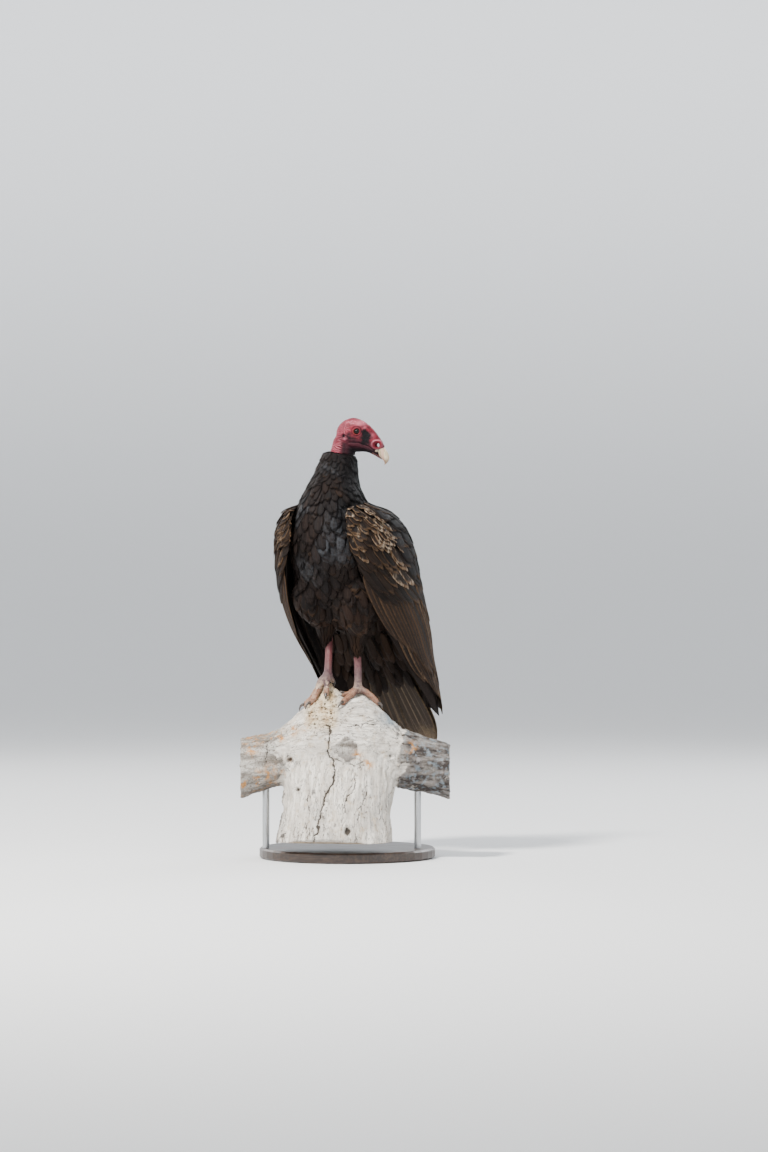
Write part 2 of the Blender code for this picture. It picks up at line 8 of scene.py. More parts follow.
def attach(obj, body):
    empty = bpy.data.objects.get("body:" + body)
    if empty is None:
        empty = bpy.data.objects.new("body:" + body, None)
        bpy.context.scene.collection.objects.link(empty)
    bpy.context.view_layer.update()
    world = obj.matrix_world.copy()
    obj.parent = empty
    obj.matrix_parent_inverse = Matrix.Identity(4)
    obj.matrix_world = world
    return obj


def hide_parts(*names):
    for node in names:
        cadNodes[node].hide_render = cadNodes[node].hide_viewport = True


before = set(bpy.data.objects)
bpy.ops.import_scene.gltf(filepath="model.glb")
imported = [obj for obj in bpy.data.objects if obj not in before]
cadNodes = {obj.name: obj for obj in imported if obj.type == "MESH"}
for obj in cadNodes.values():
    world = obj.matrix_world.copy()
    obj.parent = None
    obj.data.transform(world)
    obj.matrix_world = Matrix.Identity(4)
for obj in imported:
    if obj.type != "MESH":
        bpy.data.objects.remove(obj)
rng = np.random.default_rng(41)
mm = 0.001
for name in ("Cube", "Light", "Camera"):
    if name in bpy.data.objects:
        bpy.data.objects.remove(bpy.data.objects[name])
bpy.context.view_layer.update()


# small tools

def makeActive(obj, *others):
    if bpy.context.object and bpy.context.object.mode != "OBJECT":
        bpy.ops.object.mode_set(mode="OBJECT")
    bpy.ops.object.select_all(action="DESELECT")
    for each in (obj, *others):
        each.select_set(True)
    bpy.context.view_layer.objects.active = obj


def applyModifier(obj, kind, **settings):
    makeActive(obj)
    modifier = obj.modifiers.new(kind.title(), kind)
    for name, value in settings.items():
        setattr(modifier, name, value)
    bpy.ops.object.modifier_apply(modifier=modifier.name)


def editMesh(obj, select, operation, **settings):
    # one mesh operation in edit mode, on everything or on what is selected already
    makeActive(obj)
    bpy.ops.object.mode_set(mode="EDIT")
    if select:
        bpy.ops.mesh.select_all(action=select)
    getattr(bpy.ops.mesh, operation)(**settings)
    bpy.ops.object.mode_set(mode="OBJECT")


def joinObjects(objects, name):
    makeActive(*objects)
    if len(objects) > 1:
        bpy.ops.object.join()
    objects[0].name = objects[0].data.name = name
    return objects[0]


def addObject(name, data):
    obj = bpy.data.objects.new(name, data)
    bpy.context.scene.collection.objects.link(obj)
    return obj


def copyOfNodes(name, *nodeNames):
    copies = [addObject(name, cadNodes[nodeName].data.copy()) for nodeName in nodeNames]
    for obj in copies:
        obj.data.materials.clear()
    obj = joinObjects(copies, name)
    editMesh(obj, "SELECT", "remove_doubles", threshold=1e-6)
    return obj


def readArray(collection, name, each=1, kind=float):
    flat = np.empty(len(collection) * each, kind)
    collection.foreach_get(name, flat)
    return flat.reshape(-1, each) if each > 1 else flat


def getPoints(obj):
    return readArray(obj.data.vertices, "co", 3)


def getNormals(obj):
    return readArray(obj.data.vertex_normals, "vector", 3)


def setPoints(obj, points):
    obj.data.vertices.foreach_set("co", np.asarray(points, float).ravel())
    obj.data.update()


def inflate(obj, distance):
    setPoints(obj, getPoints(obj) + getNormals(obj) * distance)


def melt(obj, voxel, rounds):
    applyModifier(obj, "REMESH", mode="VOXEL", voxel_size=voxel, adaptivity=0)
    applyModifier(obj, "SMOOTH", iterations=rounds, factor=0.5)


def smoothShade(obj):
    makeActive(obj)
    bpy.ops.object.shade_smooth()


def setFloats(obj, **named):
    for name, values in named.items():
        layer = obj.data.attributes.new(name, "FLOAT", "POINT")
        layer.data.foreach_set("value", np.asarray(values, np.float32))


def bump(distance, radius):
    return np.exp(-(distance / radius) ** 2)


def step(values, low, high):
    t = np.clip((values - low) / (high - low), 0, 1)
    return t * t * (3 - 2 * t)


def noiseAt(points, scale, seed, octaves):
    shift = Vector((seed * 7.31, seed * 3.17, seed * 5.71))
    return np.array([noise.fractal(Vector(p) * scale + shift, 0.8, 2.0, octaves) for p in points])


def smoothTable(table, steps):
    # a smooth curve through the rows of a table
    table = np.asarray(table, float)
    last = len(table) - 1
    t = np.linspace(0, last, steps)
    i = np.minimum(t.astype(int), last - 1)
    f = (t - i)[:, None]
    a, b, c, d = (table[np.clip(i + k, 0, last)] for k in (-1, 0, 1, 2))
    square, cube = 2 * a - 5 * b + 4 * c - d, 3 * b - a - 3 * c + d
    return 0.5 * (2 * b + (c - a) * f + square * f ** 2 + cube * f ** 3)


def lineDistance(x, y, places):
    # how far each x, y is from a line through the places
    best = np.full(len(x), 1e9)
    for (ax, ay), (bx, by) in zip(places, places[1:]):
        dx, dy = bx - ax, by - ay
        t = np.clip(((x - ax) * dx + (y - ay) * dy) / (dx * dx + dy * dy), 0, 1)
        best = np.minimum(best, np.hypot(x - ax - t * dx, y - ay - t * dy))
    return best


def finishPiece(obj, slotName, material, *replaced):
    smoothShade(obj)
    if material:
        obj.data.materials.append(material)
    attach(obj, "root")
    if replaced:
        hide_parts(*replaced)


# node tools

def feed(tree, node, inputs):
    # link or set the inputs of a node; a colour is given as red, green and blue
    for key, value in inputs.items():
        socket = node.inputs[key]
        if isinstance(value, bpy.types.NodeSocket):
            tree.links.new(value, socket)
        else:
            socket.default_value = (*value, 1) if socket.type == "RGBA" else value


def addNode(tree, kind, inputs, **settings):
    node = tree.nodes.new("ShaderNode" + kind)
    for name, value in settings.items():
        setattr(node, name, value)
    feed(tree, node, inputs)
    return node


def newMaterial(name):
    material = bpy.data.materials.new(name)
    material.use_nodes = True
    tree = material.node_tree
    return material, tree, tree.nodes["Principled BSDF"]


def attributeValue(tree, name):
    return addNode(tree, "Attribute", {}, attribute_name=name).outputs["Fac"]


def mathNode(tree, operation, a, b=0.0, c=0.0, clamp=False):
    return addNode(tree, "Math", {0: a, 1: b, 2: c}, operation=operation, use_clamp=clamp).outputs[0]


def times(tree, a, b, clamp=False):
    return mathNode(tree, "MULTIPLY", a, b, clamp=clamp)


def ramp(tree, value, low, high, toLow=0.0, toHigh=1.0):
    inputs = {"Value": value, "From Min": low, "From Max": high, "To Min": toLow, "To Max": toHigh}
    return addNode(tree, "MapRange", inputs, interpolation_type="SMOOTHSTEP").outputs["Result"]


def mixColour(tree, factor, a, b):
    return addNode(tree, "Mix", {0: factor, 6: a, 7: b}, data_type="RGBA").outputs[2]


def paint(tree, colour, *layers):
    # each layer is a mask or the name of one, its share and the colour it brings
    for mask, share, tint in layers:
        mask = attributeValue(tree, mask) if isinstance(mask, str) else mask
        colour = mixColour(tree, mask if share == 1 else times(tree, mask, share), colour, tint)
    return colour


def noiseNode(tree, vector, scale, detail, roughness=0.55):
    inputs = {"Vector": vector, "Scale": scale, "Detail": detail, "Roughness": roughness}
    return addNode(tree, "TexNoise", inputs).outputs["Fac"]


def cellEdges(tree, vector, scale):
    inputs = {"Vector": vector, "Scale": scale}
    return addNode(tree, "TexVoronoi", inputs, feature="DISTANCE_TO_EDGE").outputs["Distance"]


def objectPlace(tree):
    return addNode(tree, "TexCoord", {}).outputs["Object"]


def scaled(tree, vector, scale, turn=(0, 0, 0), kind="POINT"):
    inputs = {"Vector": vector, "Scale": scale, "Rotation": turn}
    return addNode(tree, "Mapping", inputs, vector_type=kind).outputs["Vector"]


def bumpNode(tree, height, strength, distance):
    inputs = {"Height": height, "Strength": strength, "Distance": distance}
    return addNode(tree, "Bump", inputs).outputs["Normal"]


def newGroup(name, inputs, outputs):
    # an input without a value is a place, all the others are numbers
    group = bpy.data.node_groups.new(name, "ShaderNodeTree")
    for socketName, value in inputs.items():
        kind = "NodeSocketVector" if value is None else "NodeSocketFloat"
        socket = group.interface.new_socket(socketName, in_out="INPUT", socket_type=kind)
        if value is not None:
            socket.default_value = value
    for socketName in outputs:
        group.interface.new_socket(socketName, in_out="OUTPUT", socket_type="NodeSocketFloat")
    return group, group.nodes.new("NodeGroupInput"), group.nodes.new("NodeGroupOutput")


def useGroup(tree, group, inputs):
    return addNode(tree, "Group", inputs, node_tree=group)


# the room: a pale bowl, lights and camera

viewing = {
    "azimuth": 24.0,
    "elevation": 1.0,
    "distance": 8.0,
    "across": 0.0748,
    "height": 0.481,
    "frameHeight": 1.958,
}
turned = math.radians(viewing["azimuth"])
alongLimb = Vector((math.cos(turned), math.sin(turned), 0))
acrossLimb = Vector((-math.sin(turned), math.cos(turned), 0))
upward = Vector((0, 0, 1))
bowl = {
    "radius": 12,
    "segments": 96,
    "sink": 6.5,
    "soft": 0.9,
    "rim": 9.5,
    "glowFrom": 0.05,
    "glowTo": 2.6,
    "glow": (0.86, 0.885, 0.92),
    "floor": (0.80, 0.81, 0.82),
}
lamps = {
    # offset towards the viewer, along the limb and up, size, power, colour
    "keyLight": ((1.7, -1.3, 2.4), 0.50, 265, (1.0, 0.965, 0.91)),
    "fillLight": ((2.2, 2.2, 0.5), 2.2, 10, (0.94, 0.97, 1.0)),
    "topLight": ((-0.4, 0.3, 2.8), 2.0, 34, (0.97, 0.985, 1.0)),
    "rimLight": ((-2.3, 1.7, 1.4), 1.5, 44, (0.96, 0.98, 1.0)),
    "rearLight": ((-2.4, -1.6, 1.2), 1.5, 30, (1.0, 0.98, 0.95)),
}
lampAim = Vector((0.0, 0.0, 0.50))
sky = {"Color": (0.86, 0.89, 0.93), "Strength": 0.26}


def buildRoom():
    bpy.ops.mesh.primitive_uv_sphere_add(
        segments=bowl["segments"], ring_count=bowl["segments"], radius=bowl["radius"], location=(0, 0, 0)
    )
    floor = bpy.context.object
    floor.name = floor.data.name = "floorBowl"
    points = getPoints(floor)
    raised = points[:, 2] + bowl["sink"]
    level = bowl["soft"] * np.log1p(np.exp(np.clip(raised / bowl["soft"], -30, 30)))
    points[:, 2] = np.where(raised > bowl["radius"], raised, level)
    points[:, 2] -= points[:, 2].min()
    setPoints(floor, points)
    editMesh(floor, "DESELECT", "select_mode", type="VERT")
    for vertex in floor.data.vertices:
        vertex.select = vertex.co.z > bowl["rim"]
    editMesh(floor, None, "delete", type="VERT")
    editMesh(floor, "SELECT", "flip_normals")
    smoothShade(floor)
    material, tree, shader = newMaterial("paleFloor")
    height = addNode(tree, "SeparateXYZ", {0: objectPlace(tree)}).outputs[2]
    glow = mixColour(tree, ramp(tree, height, bowl["glowFrom"], bowl["glowTo"]), (0, 0, 0), bowl["glow"])
    feed(tree, shader, {
        "Base Color": bowl["floor"],
        "Roughness": 0.9,
        "Specular IOR Level": 0.2,
        "Emission Color": glow,
        "Emission Strength": 1.0,
    })
    floor.data.materials.append(material)
    return floor


def aimedFrom(obj, aim, offset):
    obj.location = aim + offset
    obj.rotation_euler = (-offset).to_track_quat("-Z", "Y").to_euler()


def buildLights():
    for name, ((near, along, up), size, power, colour) in lamps.items():
        data = bpy.data.lights.new(name, "AREA")
        data.shape, data.size, data.energy, data.color = "DISK", size, power, colour
        aimedFrom(addObject(name, data), lampAim, alongLimb * along - acrossLimb * near + upward * up)
    world = bpy.data.worlds.new("softSky")
    world.use_nodes = True
    feed(world.node_tree, world.node_tree.nodes["Background"], sky)
    bpy.context.scene.world = world


def buildCamera():
    lift = math.radians(viewing["elevation"])
    data = bpy.data.cameras.new("frontCamera")
    data.sensor_width = 36
    data.lens = data.sensor_width * viewing["distance"] / viewing["frameHeight"]
    data.clip_end = 100
    camera = addObject("frontCamera", data)
    back = upward * math.sin(lift) - acrossLimb * math.cos(lift)
    aimedFrom(camera, alongLimb * viewing["across"] + upward * viewing["height"], back * viewing["distance"])
    bpy.context.scene.camera = camera


buildRoom()
buildLights()
buildCamera()
print("room ready")


# the dead limb

perchSizes = {
    "voxel": 0.0018,
    "topHeight": 0.270,
    "limbRadius": 0.058,
    "arch": 1.9,
    "armDrop": 0.022,
    "creaseRounds": 150,
    "wander": 3.4,
    # heights and depths of the relief, in metres
    "grain": 0.0014,
    "lumps": 0.0024,
    "bark": 0.0022,
    "rough": 0.0011,
    "rift": 0.0022,
    "checks": 0.0011,
    "knotRim": 0.0018,
    "knotHole": 0.0050,
    "pillars": 0.0034,
    "sunk": -0.006,
    "raised": 0.007,
    # places across the view and height, in millimetres
    "longCrack": (
        (-20, 232), (-15, 218), (-18, 204), (-21, 190), (-17, 178), (-9, 174), (-8, 158),
        (-11, 141), (-17, 127), (-25, 113), (-27, 98), (-34, 80), (-37, 60), (-45, 30),
    ),
    "splits": (
        ((-10, 175), (11, 171), (26, 162), (42, 168)),
        ((20, 150), (27, 138), (24, 126), (12, 112), (9, 96)),
        ((-52, 118), (-55, 100), (-50, 84), (-56, 60)),
        ((46, 120), (40, 98), (33, 84), (28, 60), (30, 34)),
        ((-122, 200), (-124, 186), (-123, 168)),
        ((14, 228), (24, 231), (34, 229), (46, 233), (60, 232)),
    ),
    # across, height, radius, how open
    "knots": ((-84, 171, 9.0, 0.7), (-70, 122, 5.5, 0.8), (14, 56, 9.5, 1.0), (86, 178, 6.0, 0.6)),
    # across, height, radius
    "ochreSpots": (
        (-80, 221, 9), (-149, 186, 9), (47, 164, 9), (-137, 203, 7), (30, 181, 7), (104, 243, 7),
        (-84, 171, 4), (-60, 226, 6), (-118, 150, 10), (-140, 146, 8), (120, 190, 8), (-98, 206, 5),
    ),
}
stubAxis = (acrossLimb * -0.36 + Vector((0, 0, -0.93)) + alongLimb * -0.07).normalized()
limbTurn = (0.0, 0.0, turned)
stubTurn = tuple(stubAxis.to_track_quat("X", "Z").to_euler())


def limbFrame(points):
    # place along and across the limb, and height over its axis
    u, w = points @ np.array(alongLimb), points @ np.array(acrossLimb)
    fall = perchSizes["arch"] * u ** 2 / (1 + 16 * u ** 2)
    fall = fall + perchSizes["armDrop"] * step(np.abs(u), 0.045, 0.115)
    return u, w, points[:, 2] - (perchSizes["topHeight"] - perchSizes["limbRadius"] - fall)


def relax(obj, share, rounds):
    # smooth where there is a share of it
    points = getPoints(obj)
    ends = readArray(obj.data.edges, "vertices", 2, int)
    a, b = ends.T
    many = len(points)
    count = np.bincount(ends.ravel(), minlength=many)
    for _ in range(rounds):
        total = [np.bincount(a, points[b, k], many) + np.bincount(b, points[a, k], many) for k in range(3)]
        points = points + (np.stack(total, 1) / count[:, None] - points) * share[:, None] * 0.7
    setPoints(obj, points)


def softenFork(perch):
    # relax the creases where the arms leave the trunk
    points = getPoints(perch)
    u, w, h = limbFrame(points)
    z = points[:, 2]
    crease = step(0.130 - np.abs(u), 0, 0.025) * bump(z - 0.168, 0.030) * step(-w, -0.005, 0.03)
    flank = bump(np.abs(u) - 0.098, 0.022) * bump(z - 0.150, 0.030)
    relax(perch, np.clip(crease + flank, 0, 1), perchSizes["creaseRounds"])


def buildPerch():
    sizes = perchSizes
    perch = copyOfNodes("deadLimb", "perch")
    melt(perch, sizes["voxel"], 8)
    softenFork(perch)
    points, normals = getPoints(perch), getNormals(perch)
    u, w, h = limbFrame(points)
    z = points[:, 2]

    def at(scale, seed, octaves=3):
        return noiseAt(points, scale, seed, octaves)

    def spotAt(across, height, wide, tall):
        return bump(np.hypot((u - across) / wide, (z - height) / tall), 1.0)

    front = step(-w, -0.012, 0.012)
    trunkShare = step(0.118 - np.abs(u + 0.008), 0, 0.026) * step(0.205 - z, 0.0, 0.05)
    armEnds = np.abs(normals @ np.array(alongLimb)) * step(np.abs(u), 0.155, 0.163)
    sawn = step(np.maximum(armEnds, -normals[:, 2] * step(0.040 - z, 0, 0.003)), 0.72, 0.9)

    # grain along each arm and down the trunk
    axis, side = np.array(stubAxis), np.array(stubAxis.orthogonal())
    t, p, q = points @ axis, points @ side, points @ np.cross(axis, side)
    inLimb = np.stack([u * 14, w * 110, h * 110], 1)
    inTrunk = np.stack([t * 14, p * 110, q * 110], 1)
    grain = noiseAt(inLimb, 1.0, 1, 4) * (1 - trunkShare) + noiseAt(inTrunk, 1.0, 2, 4) * trunkShare
    lumps, rough = at(24, 3), at(150, 5)

    # cracks: the long one, the shorter splits and the fine drying checks
    wander = at(85, 8, 4) * sizes["wander"]
    across, up = u / mm + wander, z / mm + at(85, 14, 4) * sizes["wander"]

    def crackAt(places, halfWidth):
        return np.clip(1 - lineDistance(across, up, places) / halfWidth, 0, 1) * front

    rift = crackAt(sizes["longCrack"], 2.3)
    gappy = 0.8 * step(at(60, 10, 2), -0.45, 0.0)
    for places in sizes["splits"]:
        rift = np.maximum(rift, crackAt(places, 1.5) * gappy)
    checks = np.clip(1 - np.abs(grain + 0.08) / 0.05, 0, 1) * step(at(17, 4, 2), -0.15, 0.25)

    # bark left on the arms, and the torn knob on top of the limb
    bark = np.maximum(step(-u, 0.070, 0.135), 0.95 * step(u, 0.072, 0.130))
    bark = np.maximum(bark, 1.25 * spotAt(0.010, 0.189, 0.024, 0.020) * front)
    bark = np.maximum(bark, 0.75 * step(w, 0.0, 0.05))
    bark = step(bark + 0.55 * at(42, 9, 5), 0.50, 0.58)
    knob = step(-u, -0.004, 0.012) * step(0.070 + u, 0, 0.022) * step(z, 0.214, 0.236)
    pillars = noiseAt(np.stack([u * 230, w * 230, z * 34], 1), 1.0, 12, 3)
    gaps = knob * (1 - step(np.abs(pillars), 0.02, 0.085)) * step(at(90, 17, 2), -0.35, 0.05)

    lift = sizes["lumps"] * lumps + sizes["grain"] * grain - sizes["rift"] * rift - sizes["checks"] * checks
    hollow = np.zeros(len(u))
    for place, height, radius, depth in sizes["knots"]:
        far = np.hypot(u / mm - place + wander * 0.4, z / mm - height) / radius
        hollow = np.maximum(hollow, depth * bump(far, 0.62) * front)
        rim = sizes["knotRim"] * bump(far - 1.1, 0.35)
        lift += front * (rim - sizes["knotHole"] * depth * bump(far, 0.6))
    lift += bark * (sizes["bark"] + sizes["rough"] * rough) + 0.0006 * rough * (1 - bark)
    lift += knob * (sizes["pillars"] * np.abs(pillars) + 0.0014 * rough - 0.0012)
    lift *= 1 - sawn
    setPoints(perch, points + normals * np.clip(lift, sizes["sunk"], sizes["raised"])[:, None])

    # lichen stains
    ochre = np.zeros(len(u))
    for place, height, radius in sizes["ochreSpots"]:
        spot = bump(np.hypot(u / mm - place, z / mm - height), radius)
        ochre = np.maximum(ochre, spot * step(-w, -0.03, -0.01))
    edges = bump(h - 0.040, 0.010) + bump(h + 0.026, 0.014)
    edges = 0.9 * edges * step(-u, 0.08, 0.11) * step(at(90, 15), 0.0, 0.3)
    ochre = np.maximum(ochre, edges) * step(at(110, 16), -0.25, 0.1)

    # rings and drying checks on the sawn ends
    low = trunkShare * (z < 0.05) > 0.5
    away = np.where(low, np.hypot(p - 0.010, q), np.hypot(w, h))
    turn = np.where(low, np.arctan2(p, q), np.arctan2(w, h))
    checkLines = np.abs(np.sin(turn * 3.5 + 2.4 * at(30, 19)))
    # blue: a blue-grey lichen patch by the toe, and painted bluish shade on the bark of the shaded right arm
    blue = spotAt(0.089, 0.240, 0.022, 0.013) + 0.5 * bark * step(u, 0.09, 0.12) * step(-rough, 0.1, 0.5)
    setFloats(
        perch,
        ringAt=away + 0.0030 * at(26, 6),
        sawCheck=(1 - step(checkLines, 0.02, 0.06 + 1.6 * away)) * step(at(14, 20, 2), -0.5, 0.1),
        trunkShare=trunkShare,
        sawn=sawn,
        bark=bark * (1 - sawn),
        # dark bark on the right arm, deepened as painted shade, and painted shade under the bark of both arms
        darkArm=step(u, 0.075, 0.120) + 0.8 * step(-h, 0.012, 0.04) * bark,
        # rift: painted shade, near black, in the cracks, drying checks, knot holes and the gaps in the knob
        rift=np.clip(rift + 0.7 * checks + hollow + gaps, 0, 1),
        knob=knob,
        ochre=ochre,
        bluish=blue,
    )
    finishPiece(perch, "dead_wood", deadWood(), "perch")


woodTones = {
    "bare": ((0.47, 0.42, 0.36), (0.78, 0.735, 0.66)),
    "grey": (0.33, 0.31, 0.29),
    "tan": (0.46, 0.345, 0.215),
    "pale": (0.78, 0.75, 0.69),
    "bark": ((0.16, 0.14, 0.12), (0.50, 0.475, 0.43)),
    "barkGrit": (0.085, 0.070, 0.055),
    # dark bark, also used as painted shade on the right arm and under the arms
    "darkBarkAndShade": ((0.034, 0.028, 0.026), (0.20, 0.18, 0.165)),
    "flaked": (0.30, 0.29, 0.285),
    "knob": ((0.40, 0.26, 0.115), (0.70, 0.58, 0.40)),
    "ochre": (0.50, 0.23, 0.06),
    "blue": (0.25, 0.32, 0.37),
    "grit": (0.16, 0.125, 0.09),
    # painted shade: the near-black colour inside the cracks and holes
    "shadedCrack": (0.020, 0.013, 0.009),
    "cut": ((0.42, 0.34, 0.245), (0.27, 0.20, 0.135)),
    "oldCut": (0.24, 0.205, 0.17),
    "sawCheck": (0.055, 0.038, 0.026),
    "cutGrit": (0.20, 0.13, 0.08),
}


def woodGroup():
    # weathered grain running along X of the place it is given
    group, start, end = newGroup("woodGrain", {"Place": None}, ("Streak", "Crack", "Fibre"))
    place = start.outputs["Place"]
    shadedCrack = None
    for scale, width, low, high, share in (
        (52, 0.010, 0.40, 0.52, 1), (125, 0.018, 0.44, 0.56, 0.8), (260, 0.030, 0.48, 0.60, 0.5),
    ):
        apart = mathNode(group, "SUBTRACT", noiseNode(group, place, scale, 4), 0.5)
        apart = mathNode(group, "ABSOLUTE", apart)
        broken = ramp(group, noiseNode(group, place, scale * 0.6, 2), low, high)
        line = times(group, ramp(group, apart, 0.0, width, 1, 0), broken)
        shadedCrack = mathNode(group, "MAXIMUM", shadedCrack, times(group, line, share)) if shadedCrack else line
    streak, fibre = noiseNode(group, place, 75, 6, 0.65), noiseNode(group, place, 420, 3, 0.6)
    feed(group, end, {"Streak": streak, "Crack": shadedCrack, "Fibre": fibre})
    return group


def deadWood():
    material, tree, shader = newMaterial("deadWood")
    place = objectPlace(tree)
    grain = woodGroup()
    limbPlace, trunkPlace = (scaled(tree, place, (5, 1, 1), turn, "TEXTURE") for turn in (limbTurn, stubTurn))
    one, two = (useGroup(tree, grain, {"Place": where}).outputs for where in (limbPlace, trunkPlace))
    share = attributeValue(tree, "trunkShare")
    streak, shadedCrack, fibre = (
        addNode(tree, "Mix", {0: share, 2: one[name], 3: two[name]}).outputs[0]
        for name in ("Streak", "Crack", "Fibre")
    )
    broad, blotch = noiseNode(tree, place, 19, 4, 0.6), noiseNode(tree, place, 75, 5, 0.65)
    grit = noiseNode(tree, place, 330, 4, 0.7)
    bark, rift = attributeValue(tree, "bark"), attributeValue(tree, "rift")

    def blend(value, low, high, tones):
        return mixColour(tree, ramp(tree, value, low, high), *woodTones[tones])

    def patchy(name, low, high, least):
        return times(tree, attributeValue(tree, name), ramp(tree, blotch, low, high, least, 1.0), clamp=True)

    darkBarkAndShade = paint(
        tree, blend(noiseNode(tree, limbPlace, 95, 6, 0.7), 0.40, 0.62, "darkBarkAndShade"),
        (ramp(tree, blotch, 0.56, 0.68, 0, 0.55), 1, woodTones["flaked"]),
    )
    # painted shade: darker bark where the arms lie in shade, broken up by noise
    dark = times(tree, attributeValue(tree, "darkArm"), ramp(tree, broad, 0.36, 0.54, 0.55, 1.0), clamp=True)
    barkColour = paint(
        tree, blend(noiseNode(tree, limbPlace, 60, 6, 0.7), 0.38, 0.62, "bark"),
        (ramp(tree, grit, 0.50, 0.62, 0, 0.7), 1, woodTones["barkGrit"]),
        (dark, 1, darkBarkAndShade),
    )
    rings = mathNode(tree, "SINE", times(tree, attributeValue(tree, "ringAt"), 1750))
    ringTone = times(tree, ramp(tree, rings, -0.6, 0.9), ramp(tree, blotch, 0.35, 0.65, 0.25, 0.9))
    cutColour = paint(
        tree, mixColour(tree, ringTone, *woodTones["cut"]),
        (ramp(tree, broad, 0.42, 0.62, 0.0, 0.6), 1, woodTones["oldCut"]),
        ("sawCheck", 0.85, woodTones["sawCheck"]),
        (ramp(tree, grit, 0.45, 0.65, 0, 0.4), 1, woodTones["cutGrit"]),
    )
    # the cracks are painted near black as the shade inside them
    shadedCrack = times(tree, shadedCrack, mathNode(tree, "MULTIPLY_ADD", bark, -0.6, 1.0))
    shadedCrack = mathNode(tree, "MAXIMUM", shadedCrack, ramp(tree, rift, 0.15, 0.65))
    colour = paint(
        tree, blend(streak, 0.36, 0.62, "bare"),
        (ramp(tree, broad, 0.46, 0.66, 0, 0.55), 1, woodTones["grey"]),
        (ramp(tree, blotch, 0.54, 0.68, 0, 0.6), 1, woodTones["tan"]),
        (ramp(tree, fibre, 0.35, 0.7, 0.0, 0.3), 1, woodTones["pale"]),
        (bark, 1, barkColour),
        ("knob", 0.85, blend(blotch, 0.34, 0.60, "knob")),
        (patchy("ochre", 0.34, 0.50, 0.15), 1, woodTones["ochre"]),
        (patchy("bluish", 0.36, 0.56, 0.35), 1, woodTones["blue"]),
        (ramp(tree, grit, 0.56, 0.68, 0, 0.35), 1, woodTones["grit"]),
        (shadedCrack, 0.94, woodTones["shadedCrack"]),
        ("sawn", 1, cutColour),
    )
    height = mathNode(tree, "SUBTRACT", mathNode(tree, "MULTIPLY_ADD", fibre, 0.35, streak), shadedCrack)
    height = mathNode(tree, "MULTIPLY_ADD", grit, mathNode(tree, "MULTIPLY_ADD", bark, 0.9, 0.35), height)
    feed(tree, shader, {
        "Base Color": colour,
        "Roughness": 0.88,
        "Specular IOR Level": 0.22,
        "Normal": bumpNode(tree, height, 0.75, 0.0011),
    })
    return material


def dressNode(nodeName, material):
    cadNodes[nodeName].data.materials.clear()
    cadNodes[nodeName].data.materials.append(material)


def buildStand():
    board, tree, shader = newMaterial("standBoard")
    grain = noiseNode(tree, scaled(tree, objectPlace(tree), (1, 14, 14)), 22, 5)
    colour = mixColour(tree, ramp(tree, grain, 0.35, 0.7), (0.020, 0.013, 0.010), (0.055, 0.034, 0.024))
    feed(tree, shader, {"Base Color": colour, "Roughness": ramp(tree, grain, 0.3, 0.7, 0.28, 0.42)})
    steel, tree, shader = newMaterial("standSteel")
    brushed = noiseNode(tree, scaled(tree, objectPlace(tree), (1, 1, 0.03)), 900, 2)
    sheen = ramp(tree, brushed, 0.3, 0.7, 0.22, 0.40)
    feed(tree, shader, {"Base Color": (0.48, 0.49, 0.50), "Metallic": 1.0, "Roughness": sheen})
    dressNode("stand_base", board)
    dressNode("stand_rod_1", steel)
    dressNode("stand_rod_2", steel)


buildPerch()
buildStand()
print("limb and stand ready")


# one skin over the flesh: bare head, plumage bed and scaled legs

headSizes = {
    "eye": (0.0290, 0.015, 0.7265),
    "yaw": 8.0,
    "tip": 4.0,
    "eyeRadius": 0.0056,
    "eyeOut": 0.0142,
    "voxel": 0.0008,
}
headMatrix = (
    Matrix.Translation(headSizes["eye"])
    @ Matrix.Rotation(math.radians(headSizes["yaw"]), 4, "Z")
    @ Matrix.Rotation(math.radians(headSizes["tip"]), 4, "Y")
)
headTurn = np.array(headMatrix.to_3x3())
headPlace = np.array(headMatrix.translation)


def toHead(points):
    # forward, left and up from the eyes, in millimetres
    return ((points - headPlace) @ headTurn * 1000).T


headFolds = (
    # place along the side of the face, height in millimetres, width
    (((-9, 6.5), (-3, 9.4), (4, 9.8), (10, 7.0), (15, 3.5)), 1.3, 2.2),
    (((-13, -10), (-5, -11.5), (4, -11), (12, -13), (18, -17)), 0.6, 1.5),
    (((-16, -15), (-6, -15.5), (4, -15.5), (13, -18.5)), 0.6, 1.3),
    (((-12, -24), (2, -24.5), (12, -27), (24, -31.5)), 0.7, 1.8),
    (((-22, -30), (-10, -31), (2, -31), (14, -32.5)), 0.5, 1.5),
    (((-26, 6), (-18, 10), (-9, 12)), 0.5, 1.5),
    (((-31, -2), (-26, 2), (-18, 3)), 0.45, 1.2),
    (((14, 8), (20, 2), (27, -5)), 0.4, 1.6),
    (((17, -9), (24, -13), (28, -19)), -0.5, 1.5),
    (((-12.5, -20), (-4, -19.4), (4.4, -19.5), (12, -21.6), (21, -24.4), (31.5, -31)), -1.0, 1.0),
)
headLines = {
    "gape": ((-10, -20.6), (4.4, -20.6), (21, -25.2), (31, -31.4)),
    "mask": ((17.5, -3.5), (15.5, -11.0), (4, -13.0), (-8, -12.5), (-15, -10.5)),
    "lip": ((-12, -19.0), (4, -18.6), (21, -23.2), (31, -29.8)),
    "neckSide": ((-24, -14), (-22, -26), (-20, -36)),
}


